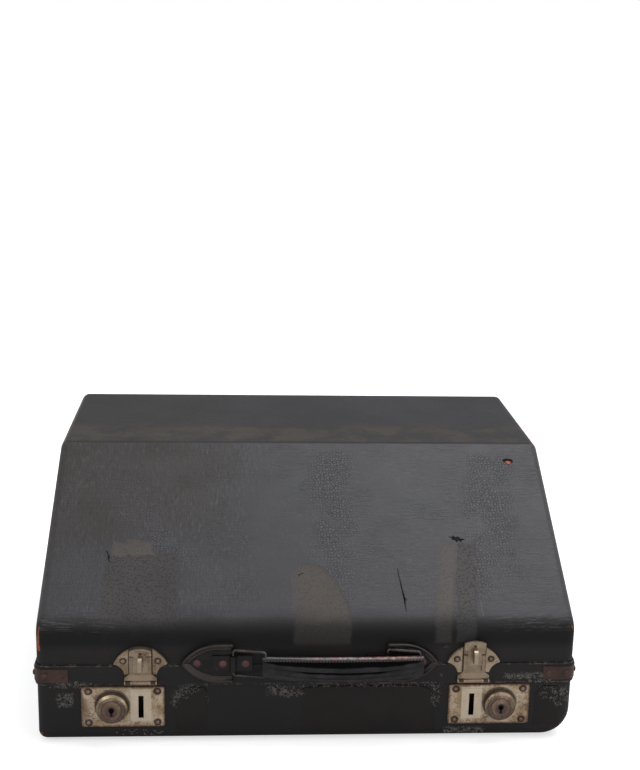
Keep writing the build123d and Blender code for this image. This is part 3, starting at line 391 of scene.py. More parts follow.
SCALE_BANDS = (
    ((28, -100, 180), (20, 84, 80), 0.02, 22.0, 14.0),
    ((192, -100, 180), (24, 84, 80), 0.1, 22.0, 14.0),
    ((-158, -100, 180), (24, 45, 60), -0.55, 24.0, 18.0),
)


def frayed_places(*rows):
    """Places on the front, from rows of x, z, half width, half height and sometimes edges."""
    places = []
    for x, z, wide, tall, *edges in rows:
        ragged, soft = edges or (5.0, 2.0)
        places.append(((x, -211, z), (wide, 6, tall), 0.0, ragged, soft))
    return places


FLUFF = frayed_places(
    (-104, 60.7, 6, 0.8, 3, 1), (-114, 56.5, 8, 4), (-122, 50, 6, 4.5), (-128, 42, 4, 3.5),
    (-30, 56, 9, 4.5), (-17, 51.5, 13, 3.5), (-226, 60.5, 14, 1.0), (-226, 64.5, 16, 1.6),
    (-233, 46, 7, 7), (-163, 11.5, 20, 2.4), (212, 69.5, 20, 2.6), (229, 64.5, 11, 1.6),
    (236, 50, 7, 6), (248, 46, 8, 8), (125.5, 48, 4, 11), (154, 10.5, 20, 3.0),
    (-97, 45, 0.8, 5, 2, 0.8), (130, 74, 0.7, 7, 2, 0.8), (133, 100.5, 4, 1.2, 3, 1),
)
PALE_PLACES = frayed_places(
    (-114, 57, 10, 4), (-125, 47, 6, 6), (-23, 54, 16, 4.5), (-226, 62.5, 16, 2.4),
    (-233, 46, 7, 7), (214, 69.5, 22, 2.8), (241, 50, 12, 8), (154, 10.5, 20, 3.0),
)


def box_mark(w, place, centre, half, ragged=0.3, soft=0.3, lean=0.0, grain=260.0):
    return w.group(
        PLACE, place, Centre=mm(*centre), Half=mm(*half), Lean=lean, Ragged=ragged * MM,
        Soft=soft * MM, Grain=grain,
    )


def disc_mark(w, place, x, z, inner, outer, soft=0.5, ragged=0.0):
    return w.group(
        DISC, place, Centre=mm(x, 0, z), Inner=inner * MM, Outer=outer * MM, Soft=soft * MM,
        Ragged=ragged * MM,
    )


def gather_places(w, place, listed, grain=90.0):
    """The union of several ragged places."""
    return most(*(
        box_mark(w, place, centre, half, ragged, soft, lean, grain)
        for centre, half, lean, ragged, soft in listed
    ))


def covering_material(name):
    """Black reptile-embossed leathercloth, rubbed, torn and scuffed where it was handled."""
    w, place = start_material(name, roughness=0.5, specular=0.27)
    across, deep, high = w.split(place)
    cloud = w.noise(place, 7.0, 4.0, 0.6)
    stain = w.noise(place, 24.0, 8.0, 0.72)
    fine = w.noise(place, 700.0, 3.0, 0.6)

    # What faces upwards is painted grey: partly fading, partly a painted sheen of the overhead
    # light. The walls stay black, with painted shade darkest under the shoulder.
    upward_fade_and_sheen = w.step(high + (stain - 0.5) * 0.012, 0.1195, 0.1355)
    under = w.between(high, 101, 119, 6) * w.step(deep, -0.19, -0.2, 0.0, 1.0)
    wall = w.mix(w.step(cloud, 0.35, 0.68), (0.004, 0.0036, 0.0036), (0.008, 0.006, 0.0054))
    wall = w.mix(under * 0.9, wall, (0.0012, 0.0012, 0.0014))
    grey = w.mix(w.step(cloud, 0.35, 0.65), (0.017, 0.0168, 0.02), (0.0268, 0.0255, 0.0283))
    # Painted sheen: the grey grows lighter towards the right.
    grey = w.mix(w.step(across, 0.02, 0.2, 0.0, 0.22), grey, (0.042, 0.041, 0.046))
    w.colour = w.mix(upward_fade_and_sheen, wall, grey)
    left = w.step(across, -0.02, -0.14) * w.step(high, 0.15, 0.2)
    brown = left * 0.42 + w.step(stain, 0.35, 0.68) * (0.2 + left * 0.25)
    w.paint(brown * upward_fade_and_sheen, (0.027, 0.0205, 0.016))

    # Worn tooth of the cloth: short upright streaks on the left, long level ones on the right.
    upright = w.noise(place * (1.0, 0.2, 0.2), 560.0, 3.0, 0.6)
    waved = place + w.noise(place, 45.0, 2.0, output="Color") * 0.009
    level = w.noise(waved * (0.3, 1.0, 1.0), 400.0, 4.0, 0.65)
    tooth = w.blend(w.step(across, -0.09, 0.06), upright, level)
    strong = upward_fade_and_sheen * w.step(w.noise(place, 19.0, 3.0), 0.36, 0.6, 0.35, 1.0)
    w.paint(w.step(tooth, 0.53, 0.68) * (strong * 0.44), (0.062, 0.06, 0.064))
    w.paint(w.step(tooth, 0.47, 0.35) * (strong * 0.6), (0.008, 0.0075, 0.0083))

    # The flat top's front edge is rubbed brown where the instrument was set down.
    band = w.step(deep, -0.004, 0.012) * w.step(deep, 0.045, 0.08, 1.0, 0.0)
    browned = band * w.step(high, 0.234, 0.2405) * w.step(stain, 0.4, 0.6)
    # Painted shade: the flat top is painted darker, standing in for its dim reflection.
    shaded_top = w.step(high, 0.2405, 0.2418)
    w.paint(shaded_top * 0.7, (0.0075, 0.007, 0.008))
    w.paint(browned * 0.75, (0.036, 0.028, 0.019))

    # Bared cloth: dark pitted squares, tan strips, and an arch over the handle.
    wander = (w.noise(place, 80.0, 4.0) - 0.5) * 0.006
    arch = w.length((place * (1.0, 0.57, 1.0) - mm(-4, -119, 108)) * (1.0, 1.0, 0.5))
    arched = w.step(arch + wander, 0.0435, 0.047, 1.0, 0.0)
    middle = arched * w.step(across + wander, -0.0165, -0.0115)
    middle = middle * (w.step(high, 0.1, 0.106) * w.step(high, 0.16, 0.158))
    middle = middle * w.step(high - across * 0.8 + wander, 0.162, 0.1655, 1.0, 0.0)
    torn = gather_places(w, place, TORN_DARK)
    rubbed = most(gather_places(w, place, RUBBED_TAN), middle)
    bared = most(torn, rubbed)
    pitted = w.step(w.noise(place, 520.0, 2.0, 0.5), 0.54, 0.6)
    paler = w.step(across, 0.1, 0.14, 0.0, 0.4)
    torn_colour = w.mix(stain, (0.04, 0.037, 0.0365), (0.064, 0.059, 0.056))
    torn_colour = w.mix(paler, torn_colour, (0.09, 0.085, 0.086))
    torn_colour = w.mix(pitted * 0.52, torn_colour, (0.013, 0.012, 0.012))
    w.paint(torn * (0.35 + upward_fade_and_sheen * 0.5), torn_colour)
    tan_colour = w.mix(stain, (0.058, 0.05, 0.044), (0.088, 0.076, 0.066))
    tan_colour = w.mix(paler, tan_colour, (0.112, 0.1, 0.092))
    tan_colour = w.mix(pitted * 0.4, tan_colour, (0.03, 0.026, 0.023))
    w.paint(rubbed * (0.3 + upward_fade_and_sheen * 0.62), tan_colour)

    fluff = gather_places(w, place, PALE_PLACES, 120.0)
    fluff = fluff * w.group(SPECKS, place, Size=0.0008, Amount=0.55)
    w.paint(fluff * 0.85, (0.15, 0.14, 0.126))

    # The rim's edges and the seam are rubbed to light specks.
    rim_edge = most(w.between(high, 81.6, 83.4, 0.5), w.between(high, 61.2, 63.4, 0.6))
    rim_edge = rim_edge * w.group(SPECKS, place, Size=0.003, Amount=0.52)
    w.paint(rim_edge * 0.7, (0.1, 0.09, 0.078))

    streaks = w.group(SCRATCHES, place, Stretch=(12.0, 1.2, 1.2), Amount=0.5)
    w.paint(streaks * (upward_fade_and_sheen * 0.22), (0.06, 0.056, 0.052))
    scratches = w.group(SCRATCHES, place, Stretch=(1.0, 7.0, 9.0), Amount=0.3)
    w.paint(scratches * 0.22, (0.045, 0.041, 0.038))
    chips = w.group(SPECKS, place, Size=0.0014, Amount=0.04)
    w.paint(chips * 0.6, (0.16, 0.145, 0.12))
    # Painted highlights along the wrinkles at the shoulder's ends.
    wrinkled = w.between(high, 116, 130, 4) * w.step(abs(across), 0.16, 0.21)
    ridge_highlights = w.group(SCRATCHES, place, Stretch=(1.0, 7.0, 14.0), Amount=0.95)
    w.paint(ridge_highlights * (wrinkled * 0.4), (0.085, 0.083, 0.09))

    wood = gather_places(w, place, BARE_WOOD, 120.0)
    figure = w.noise(place * (1.0, 1.0, 5.0), 90.0, 4.0)
    w.paint(wood, w.mix(figure, (0.15, 0.04, 0.018), (0.36, 0.115, 0.05)))

    # The pressed grain: bands of scales, fading out between, with long creases elsewhere. The
    # creases and the grooves between scales get painted shade, the scale tops a painted highlight.
    scales = w.group(SCALES, place, Length=0.0031)
    bands = gather_places(w, place, SCALE_BANDS, 20.0)
    bands = bands * w.step(w.noise(place, 24.0, 3.0), 0.38, 0.56, 0.3, 1.0)
    bands = most(bands, w.step(cloud, 0.42, 0.6) * 0.2) * upward_fade_and_sheen
    kept = 1.0 - bared
    creased = (1.0 - bands) * (kept * w.group(CREASES, place, Spacing=0.0034))
    w.paint(creased * 0.3, (0.008, 0.0078, 0.009))
    scaled = bands * kept
    w.paint(scales * scaled * 0.55, (0.066, 0.065, 0.072))
    w.paint((1.0 - scales) * scaled * 0.12, (0.008, 0.0078, 0.009))

    rough = w.blend(upward_fade_and_sheen, 0.62, w.blend(w.step(cloud, 0.3, 0.7), 0.4, 0.47))
    for share, amount in (
        (brown * upward_fade_and_sheen, 0.68), (shaded_top, 0.8), (under, 0.8), (bared, 0.78),
        (most(wood, fluff), 0.9),
    ):
        rough = w.blend(share, rough, amount)

    grain = w.group(GRAIN, place, Size=0.0014)
    height = (scales * (bands * 0.85) + grain * 0.14 - creased * 0.28) * kept
    height = height + w.noise(place * (1.0, 3.0, 5.0), 16.0, 3.0, 0.5) * 0.5
    height = height + w.noise(place * (1.0, 4.0, 6.0), 34.0, 3.0, 0.5) * (wrinkled * 4.5)
    height = height + bared * (-0.7 + grain * 0.3) - torn * pitted * 0.6
    height = height - wood * 1.6 + fluff * 0.8 + fine * 0.05
    return finished(w, height, 0.00045, rough)


def repair_material():
    """Smooth bookcloth glued over holes: a little browner than the covering, and scuffed."""
    w, place = start_material("repair_cloth", roughness=0.62, specular=0.25)
    mottle = w.noise(place, 34.0, 5.0, 0.62)
    weave = w.noise(place * (1.0, 1.0, 2.5), 900.0, 2.0)
    share = w.step(mottle, 0.35, 0.68)
    w.colour = w.mix(share, (0.0045, 0.0034, 0.0031), (0.0088, 0.006, 0.005))
    scuffed = w.group(SPECKS, place, Size=0.003, Amount=0.16)
    w.paint(scuffed * 0.5, (0.045, 0.034, 0.028))
    return finished(w, weave + mottle * 2.0, 0.00015, w.blend(mottle, 0.55, 0.75))


def metal_material(name, bright, dull, stain, rust, rough, marks=None, size=0.0028, metal=0.92):
    """Tarnished nickel plate with brown rust creeping from pits and edges."""
    w, place = start_material(name, roughness=rough, metallic=1.0)
    cloud = w.noise(place, 70.0, 5.0, 0.6)
    fine = w.noise(place, 420.0, 4.0, 0.7)
    speckle = w.noise(place, 900.0, 3.0, 0.7)
    w.colour = w.mix(w.step(cloud, 0.35, 0.66), bright, dull)
    w.paint(w.step(speckle, 0.48, 0.62) * 0.45, dull)
    spread = w.group(SPECKS, place, Size=size, Amount=rust)
    pits = w.group(SPECKS, place, Size=0.0011, Amount=rust * 0.8)
    stained = most(spread * 0.7, pits * 0.8)
    more, wear_and_highlights, dark = marks(w, place, *mirrored(w, place)) if marks else (None, None, None)
    # Brighter places: worn metal, and on the nails' heads a painted highlight.
    if wear_and_highlights is not None:
        stained = stained * (1.0 - wear_and_highlights * 0.8)
        worn = tuple(c * k for c, k in zip(bright, (1.1, 1.13, 1.18)))
        w.paint(wear_and_highlights * 0.75, worn)
    if more is not None:
        stained = most(stained, more * w.step(fine, 0.3, 0.55, 0.55, 1.0))
    w.paint(stained, w.mix(fine, stain, shaded(stain, 2.2)))
    # Painted shade in gaps, grooves, recesses and round the nails.
    if dark is not None:
        w.paint(dark, (0.006, 0.004, 0.003))
        stained = most(stained, dark)
    roughness = w.blend(stained, w.blend(fine, rough - 0.05, rough + 0.16), 0.85)
    scratched = w.group(SCRATCHES, place, Stretch=(9.0, 9.0, 2.0), Amount=0.5)
    height = fine * 0.4 - scratched * 0.25 - stained * 0.6
    return finished(w, height, 0.00012, roughness, w.blend(stained, metal, 0.15))


def mirrored(w, place):
    """The place with X as a distance from the middle, for marks alike on both hands; its axes."""
    x, y, z = w.split(place)
    return w.joined(abs(x), y, z), (x, y)


# The marks on the metal. Each gives its rust, its brighter places (worn metal, the lighter
# right-hand fan and leaf, painted highlights on the nails) and its painted shade in gaps, grooves,
# recesses and round nails, or None.
def plate_marks(w, place, both, axes):
    """Rust round the plate's edge, nails and outer end; bright metal round the slot; painted shadow
    round the knob, heavier above it, and round the nails; painted shade on the deepest faces.
    """
    edge = 1.0 - box_mark(w, both, (PLATE_X, -211, PLATE_Z), (38.4, 20, 19.6), 1.6, 1.3)
    nails = [disc_mark(w, both, x, z, 0.0, 3.9, 0.5, 0.9) for x, z in LOCK_NAILS]
    outer = w.step(abs(axes[0]), 0.206, 0.22)
    outer = outer * w.step(w.noise(place, 130.0, 4.0), 0.42, 0.58)
    panel = box_mark(w, both, (HASP_X, -211, SLOT_Z), (10.0, 20, 16.6), 0.7, 0.8)
    # Painted shadow round the knob, its middle set a little higher; painted shade on the deepest
    # faces.
    ring = disc_mark(w, both, BOSS_X, 40.4, 13.0, 16.9, 0.8, 0.5)
    inside = w.step(axes[1], -0.2112, -0.2106)
    halo_shadows = [nail * 0.55 for nail in nails]
    return most(edge, outer, *nails), panel, most(ring * 0.75, inside * 0.92, *halo_shadows)


def fan_marks(w, place, both, axes):
    """Painted shade in the gaps beside the leaf, at the knuckles and round the rivets; rust round
    the rivets; the right plate lighter.
    """
    gaps = [
        box_mark(w, both, (HASP_X, -213, 88), (11.5, 6, 16), 0.15, 0.2),
        box_mark(w, both, (HASP_X, -213, 71), (16.2, 6, 3.4), 0.15, 0.25),
        knuckle_gap_shade(w, both, (148.6, 172.6), -214, (2.4, 6, 1.5)),
    ]
    rivets = [disc_mark(w, both, x, z, 0.0, 3.3, 0.5, 0.6) for x, z in FAN_RIVETS]
    halo_shadows = [rivet * 0.5 for rivet in rivets]
    return most(*rivets), w.step(axes[0], 0.0, 0.01, 0.0, 0.7), most(*gaps, *halo_shadows) * 0.9


def knuckle_gap_shade(w, both, across, deep, half):
    return most(*(box_mark(w, both, (x, deep, KNUCKLE_Z), half) for x in across))


def leaf_marks(w, place, both, axes):
    """Rust under the slide, painted shade at the knuckles, and a foot that is worn bright; the
    right leaf is lighter all over.
    """
    knuckles = knuckle_gap_shade(w, both, (149.2, 172.0), -215, (2.6, 8, 1.4))
    seat = box_mark(w, both, (HASP_X, -215, 92.4), (7.6, 8, 8.6), 0.1, 0.15)
    foot = box_mark(w, both, (HASP_X, -215, 71), (12, 8, 3), 1.2, 1.5)
    return seat * 0.35, most(foot, w.step(axes[0], 0.0, 0.01, 0.0, 0.35)), knuckles * 0.8


def slide_marks(w, place, both, axes):
    """Painted shade where the rails stop against the sliding head, and a bright staple."""
    staple = w.step(axes[1], -0.219, -0.2182, 1.0, 0.0)
    notches = [
        box_mark(w, both, (x, -214, 93.9), (2.6, 4, 0.5), 0.1, 0.15) for x in (151.4, 169.8)
    ]
    return None, staple, most(*notches) * 0.9


def nail_marks(w, place, both, axes):
    """Each nail of the locks has a painted shadow round its rim and a painted highlight where its
    head is highest.
    """
    at = LOCK_NAILS + FAN_RIVETS
    spots = [disc_mark(w, both, x - 0.4, z + 0.7, 0.0, 0.75, 0.45, 0.3) for x, z in at]
    rim_shadows = [disc_mark(w, both, x, z, 1.9, 4.0, 0.3) for x, z in at]
    return None, most(*spots), most(*rim_shadows) * 0.75


def boss_marks(w, place, both, axes):
    """A dark worn face inside the knob's stepped ring, with painted shade in its groove and on its
    skirt.
    """
    face = disc_mark(w, both, BOSS_X - 1, BOSS_Z - 2, 0.0, 12.6, 1.2, 3.0)
    groove = disc_mark(w, both, BOSS_X, BOSS_Z, 12.0, 12.9, 0.25)
    skirt = w.step(axes[1], -0.2135, -0.212)
    return face * 0.9, None, most(groove * 0.35, skirt * 0.85)


def plug_marks(w, place, both, axes):
    """Painted shade: the keyhole is painted black a little way in, with a shaded ring round the
    plug; dirt round the keyhole.
    """
    deep = w.step(axes[1], PLUG_FACE + 0.0003, PLUG_FACE + 0.0007)
    hole = disc_mark(w, both, BOSS_X, KEYHOLE_Z, 0.0, 2.85, 0.2)
    at = (BOSS_X, PLUG_FACE / MM, KEYHOLE_Z - 3.6)
    stem = box_mark(w, both, at, (1.35, 6, 3.2), 0.1, 0.25)
    shade = disc_mark(w, both, BOSS_X, BOSS_Z, 8.9, 11.0, 0.4)
    dirt = disc_mark(w, both, BOSS_X + 0.2, KEYHOLE_Z - 2.5, 0.0, 6.0, 1.6, 2.4)
    return dirt, None, most(deep, hole, stem, shade * 0.4)


def leather_material(
    name, dark, rubbed, amount, rough, grain_size, worn_at=None, specular=0.5, shade_at=None
):
    """Old strap leather: black finish rubbed through to red-brown, with painted shade where
    shade_at gives it.
    """
    w, place = start_material(name, roughness=rough, specular=specular)
    mottle = w.noise(place, 60.0, 5.0, 0.62)
    worn = w.group(SPECKS, place, Size=0.004, Amount=amount)
    w.colour = w.mix(w.step(mottle, 0.35, 0.7), dark, shaded(dark, 2.1))
    w.paint(worn * 0.8, rubbed)
    # A tint laid on: stains round the chapes' rivets; on the grip, its rubbed edge with a painted
    # highlight.
    if worn_at is not None:
        edge, tint = worn_at(w, place)
        w.paint(edge, tint)
        worn = worn * (1.0 - edge)
    if shade_at is not None:
        # Painted shade in the grip's folds; a glossy coat elsewhere.
        hollow_shade, gloss = shade_at(w, place)
        w.paint(hollow_shade, (0.0006, 0.0005, 0.0005))
        w.feed(w.shader["Coat Weight"], gloss)
        w.shader["Coat Roughness"].default_value = 0.2
    cracks = w.group(SCRATCHES, place, Stretch=(7.0, 3.0, 3.0), Amount=0.5)
    w.paint(cracks * 0.4, shaded(dark, 0.3))
    roughness = w.blend(worn, w.blend(mottle, rough - 0.08, rough + 0.1), 0.7)
    height = w.group(GRAIN, place, Size=grain_size) * 0.5 - cracks * 0.9
    return finished(w, height, 0.0002, roughness)


def grip_wear_and_highlight(w, place):
    """The grip's top edge is polished and rubbed to pink-brown leather by the hand, and carries a
    painted highlight in whitish grey.
    """
    x, _, z = w.split(place)
    top = w.step(z, 0.0925, 0.094)
    middle = w.step(x, -0.03, 0.03) * w.step(x, 0.085, 0.108, 1.0, 0.35)
    broken = w.step(w.noise(place, 260.0, 4.0), 0.4, 0.58)
    tint = w.step(w.noise(place, 90.0, 3.0), 0.4, 0.62)
    edge = top * middle * (0.3 + broken * 0.7) * 0.9
    return edge, w.mix(tint, (0.23, 0.085, 0.07), (0.27, 0.215, 0.2))


def grip_shade(w, place):
    """Painted shade: black where the padded roll folds in and beneath the piping; the roll and the
    piping are polished.
    """
    x, _, z = w.split(place)
    reach = (x - GRIP_X * MM) / (GRIP_HALF * MM)
    inside = most(1.0 - reach * reach, 0.001)
    full = inside**0.55
    down = GRIP_TOP - inside * GRIP_SAG - z * 1000.0
    down = down + (w.noise(place, 60.0, 3.0) - 0.5) * 2.4
    under = w.step(down, 3.4, 4.3) * w.step(down - full * 6.6, 2.6, 4.0, 1.0, 0.0)
    fold = w.step(abs(down - (7.6 + full * 8.4)), 0.7, 1.6, 1.0, 0.0)
    hollow_shade = most(under, fold * w.step(full, 0.74, 0.88)) * 0.94
    return hollow_shade, w.step(down, 2.2, 3.4, 0.75, 0.2) * (1.0 - hollow_shade)


def chape_wear(w, place):
    """Red-brown stain round each rivet of the chapes."""
    x, y, z = w.split(place)
    both = w.joined(abs(x - HANDLE_X * MM), y, z)
    rivets = (34.5, 9.7, -11.9)
    stains = [disc_mark(w, both, 74.25 + s, HANDLE_Z, 0.0, 4.6, 0.9, 0.8) for s in rivets]
    return most(*stains) * 0.8, (0.03, 0.0105, 0.009)


def velvet_material():
    """Wine-red cotton velvet, brushed in patches."""
    w, place = start_material("wine_velvet", roughness=0.9, specular=0.2)
    w.shader["Sheen Weight"].default_value = 0.35
    w.shader["Sheen Roughness"].default_value = 0.4
    w.shader["Sheen Tint"].default_value = (0.8, 0.35, 0.35, 1.0)
    brushed = w.noise(place, 22.0, 4.0, 0.6)
    pile = w.noise(place, 1400.0, 2.0)
    w.colour = w.mix(w.step(brushed, 0.35, 0.65), (0.085, 0.006, 0.012), (0.17, 0.014, 0.024))
    w.paint(pile * 0.4, (0.22, 0.03, 0.04))
    return finished(w, pile * 0.4 + brushed, 0.0006)


def plain_material(
    name, dark, light, grain, steps=None, rough=None, stretch=None, relief=None, deep=0.0003,
    **surface
):
    """One noise gives the colour, the roughness between two values, and mostly the relief."""
    w, place = start_material(name, **surface)
    share = w.noise(place * stretch if stretch else place, *grain)
    w.colour = w.mix(w.step(share, *steps) if steps else share, dark, light)
    height = w.noise(place, *relief) if relief else share
    return finished(w, height, deep, w.blend(share, *rough) if rough else None)


def thread_material(name, dark, light):
    return plain_material(name, dark, light, (1500.0, 2.0), deep=0.0001, roughness=0.8)


def board_material(name, dark, light):
    """Torn cloth or board: all fibres, and no shine."""
    steps = (0.38, 0.62)
    return plain_material(name, dark, light, (600.0, 4.0), steps, roughness=0.95, specular=0.05)


def floor_material():
    """Plain pale floor, white to the camera so that it meets the backdrop without a line."""
    w, place = start_material("pale_floor", roughness=0.8, specular=0.2)
    colour = w.mix(w.noise(place, 3.0, 3.0), (0.7, 0.7, 0.7), (0.74, 0.74, 0.74))
    w.feed(w.shader["Base Color"], colour)
    w.shader["Emission Color"].default_value = (1.0, 1.0, 1.0, 1.0)
    seen = w.value("ShaderNodeLightPath", output="Is Camera Ray")
    w.feed(w.shader["Emission Strength"], seen * 0.6)
    return w.material


# ---------------------------------------------------------------- mesh helpers
def at(x, out, z):
    """A point given by millimetres: across, in front of the case's front, and up."""
    return Vector((x * MM, FRONT - out * MM, z * MM))


def uneven(x, y, z):
    return noise.noise(Vector((x, y, z)))


def piece_from(name, points, faces, material, smooth=True):
    mesh = bpy.data.meshes.new(name)
    mesh.from_pydata([tuple(p) for p in points], [], faces)
    mesh.validate()
    mesh.materials.append(material)
    for face in mesh.polygons:
        face.use_smooth = smooth
    return link(bpy.data.objects.new(name, mesh))


def outward(made):
    """Close doubles and turn every face outwards."""
    shape = bmesh.new()
    shape.from_mesh(made.data)
    bmesh.ops.remove_doubles(shape, verts=shape.verts, dist=1e-6)
    bmesh.ops.recalc_face_normals(shape, faces=shape.faces)
    shape.to_mesh(made.data)
    shape.free()
    return made


def lofted(name, sections, material):
    """A closed skin over a row of sections with equal numbers of points."""
    count = len(sections[0])
    points = [p for section in sections for p in section]
    last = len(points) - count
    faces = []
    for row in range(0, last, count):
        for k in range(count):
            n = (k + 1) % count
            faces.append((row + k, row + n, row + count + n, row + count + k))
    faces.append(tuple(reversed(range(count))))
    faces.append(tuple(range(last, last + count)))
    return outward(piece_from(name, points, faces, material))


def ride_with(piece, node):
    """The piece moves with the body that a CAD node belongs to."""
    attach(piece, NODES[node]["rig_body"])
    return piece


def upholster(name, sections, material, node):
    """A padded skin that takes the place of a CAD node."""
    skin = lofted(name, sections, material)
    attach(skin, NODES[node]["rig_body"])
    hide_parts(node)


def grown_piece(name, worker, tree, finish, **values):
    """Grow a geometry tree on a worker, bake it into a plain piece and drop the worker."""
    modifier = worker.modifiers.new("grow", "NODES")
    modifier.node_group = tree
    values["Finish"] = finish
    for item in tree.interface.items_tree:
        if item.in_out == "INPUT" and item.name.replace(" ", "_") in values:
            modifier[item.identifier] = values[item.name.replace(" ", "_")]
    graph = bpy.context.evaluated_depsgraph_get()
    mesh = bpy.data.meshes.new_from_object(worker.evaluated_get(graph), depsgraph=graph)
    mesh.name = name
    if not mesh.materials:
        mesh.materials.append(finish)
    bpy.data.objects.remove(worker)
    return link(bpy.data.objects.new(name, mesh))


def geometry_group(name, **inputs):
    """The wiring of an empty geometry tree, its geometry and its other inputs."""
    given = {label.replace("_", " "): value for label, value in inputs.items()}
    return new_group("GeometryNodeTree", name, "Geometry", {"Geometry": "Geometry", **given})


def turned(w, rotation, by):
    inputs = {"Rotation": rotation, "Rotate By": by}
    return w.value("FunctionNodeRotateRotation", inputs, rotation_space="LOCAL")


def planted(w, points, shape, rotation, scale, finish):
    """End a geometry tree: a shape on every point, made real and given its finish."""
    inputs = {"Points": points, "Instance": shape, "Rotation": rotation, "Scale": scale}
    laid = w.value("GeometryNodeInstanceOnPoints", inputs)
    real = w.value("GeometryNodeRealizeInstances", (laid,))
    return ended(w, w.value("GeometryNodeSetMaterial", {"Geometry": real, "Material": finish}))


def make_stitch_tree():
    """Sewn stitches: short rounded threads laid end to end along a path."""
    w, path, spacing, thread, length, slant, finish = geometry_group(
        "stitch_row", Spacing=0.003, Thread=0.0004, Length=0.002, Slant=0.0, Finish="Material"
    )
    evened = w.value("GeometryNodeResampleCurve", {"Curve": path, "Length": spacing}, mode="LENGTH")
    bead = w.value("GeometryNodeMeshUVSphere", {"Segments": 8, "Rings": 6, "Radius": 1.0})
    way = w.value("GeometryNodeInputTangent")
    along = w.value("FunctionNodeAlignRotationToVector", {"Vector": way}, axis="X")
    leaning = turned(w, along, w.joined(None, slant, None))
    return planted(w, evened, bead, leaning, w.joined(length * 0.5, thread, thread), finish)


def make_fray_tree():
    """Frayed cotton: short bent fibres standing out of a rubbed place."""
    w, bed, density, length, radius, seed, finish = geometry_group(
        "frayed_fibres", Density=1e6, Fibre_length=0.003, Fibre_radius=0.00007, Seed=1,
        Finish="Material",
    )
    inputs = {"Mesh": bed, "Density": density, "Seed": seed}
    spots = w.node("GeometryNodeDistributePointsOnFaces", inputs).outputs
    bend = {"Start": (-0.5, 0.0, 0.0), "Middle": (0.0, 0.25, 0.45), "End": (0.5, 0.0, 0.05)}
    arc = w.value("GeometryNodeCurveQuadraticBezier", {"Resolution": 4, **bend})
    ring = {"Resolution": 3, "Radius": radius / length}
    ring = w.value("GeometryNodeCurvePrimitiveCircle", ring)
    inputs = {"Curve": arc, "Profile Curve": ring, "Fill Caps": True}
    fibre = w.value("GeometryNodeCurveToMesh", inputs)
    spin = {0: (-0.5, -0.5, 0.0), 1: (0.5, 0.5, 6.283), "Seed": seed}
    spin = w.value("FunctionNodeRandomValue", spin, data_type="FLOAT_VECTOR")
    leaning = turned(w, Value(w, spots["Rotation"]), spin)
    grown = {2: 0.4, 3: 1.0, "Seed": seed}
    grown = w.value("FunctionNodeRandomValue", grown, 1, data_type="FLOAT")
    return planted(w, Value(w, spots["Points"]), fibre, leaning, grown * length, finish)


STITCHES = make_stitch_tree()
FRAY = make_fray_tree()


def stitch_row(name, points, finish, node, spacing, length, thread, slant):
    curve = bpy.data.curves.new("path", "CURVE")
    curve.dimensions = "3D"
    run = curve.splines.new("POLY")
    run.points.add(len(points) - 1)
    for spot, place in zip(run.points, points):
        spot.co = (*place, 1.0)
    made = grown_piece(
        name, link(bpy.data.objects.new("path", curve)), STITCHES, finish, Spacing=spacing * MM,
        Thread=thread * MM, Length=length * MM, Slant=slant,
    )
    for face in made.data.polygons:
        face.use_smooth = True
    ride_with(made, node)


def frayed(name, spots, node, seed, density=1.5e6, length=2.3):
    """Fibres standing on small squares scattered over the frayed places of the front."""
    points, faces = [], []
    for x, z, size in spots:
        start = len(points)
        # The lid's rim stands 2 mm in front of the tray and the lid.
        out = 2.05 if 62.4 < z < 82.5 else 0.05
        for i, k in ((-1, -1), (1, -1), (1, 1), (-1, 1)):
            points.append(at(x + i * size, out, z + k * size))
        faces.append((start, start + 1, start + 2, start + 3))
    made = grown_piece(
        name, piece_from(name + "_bed", points, faces, COTTON), FRAY, COTTON, Density=density,
        Seed=seed, Fibre_length=length * MM, Fibre_radius=0.125 * MM,
    )
    ride_with(made, node)


# ---------------------------------------------------------------- finishes for the CAD nodes
COVER = covering_material("black_leathercloth")
REPAIR = repair_material()
RUST = (0.055, 0.024, 0.014)
STRAP = leather_material(
    "handle_leather", (0.0055, 0.0044, 0.0042), (0.04, 0.016, 0.012), 0.24, 0.36, 0.0011,
    chape_wear, 0.19,
)
GRIP = leather_material(
    "grip_leather", (0.0155, 0.0145, 0.0155), (0.08, 0.03, 0.022), 0.2, 0.3, 0.0009, grip_wear_and_highlight,
    0.02, grip_shade,
)
RIM_LEATHER = leather_material(
    "chape_rim_leather", (0.0075, 0.005, 0.0044), (0.042, 0.018, 0.013), 0.4, 0.3, 0.0009,
    specular=0.34,
)
PATCH = leather_material(
    "corner_fibre", (0.024, 0.0115, 0.0085), (0.072, 0.032, 0.021), 0.4, 0.46, 0.0016,
    specular=0.28,
)
VELVET = velvet_material()
RUBBER = plain_material(
    "old_rubber", (0.015, 0.0145, 0.014), (0.055, 0.05, 0.045), (120.0, 4.0, 0.6), (0.4, 0.7),
    (0.6, 0.85), relief=(900.0, 3.0), deep=0.0002, roughness=0.72,
)
BOARD = plain_material(
    "pressed_fibreboard", (0.03, 0.02, 0.014), (0.085, 0.055, 0.035), (160.0, 5.0, 0.65),
    (0.35, 0.7), (0.6, 0.85), (1.0, 1.0, 6.0), roughness=0.75,
)
WOOD = plain_material(
    "bare_plywood", (0.2, 0.045, 0.02), (0.52, 0.15, 0.075), (260.0, 4.0), rough=(0.65, 0.9),
    stretch=(1.0, 5.0, 5.0), roughness=0.8, specular=0.3,
)
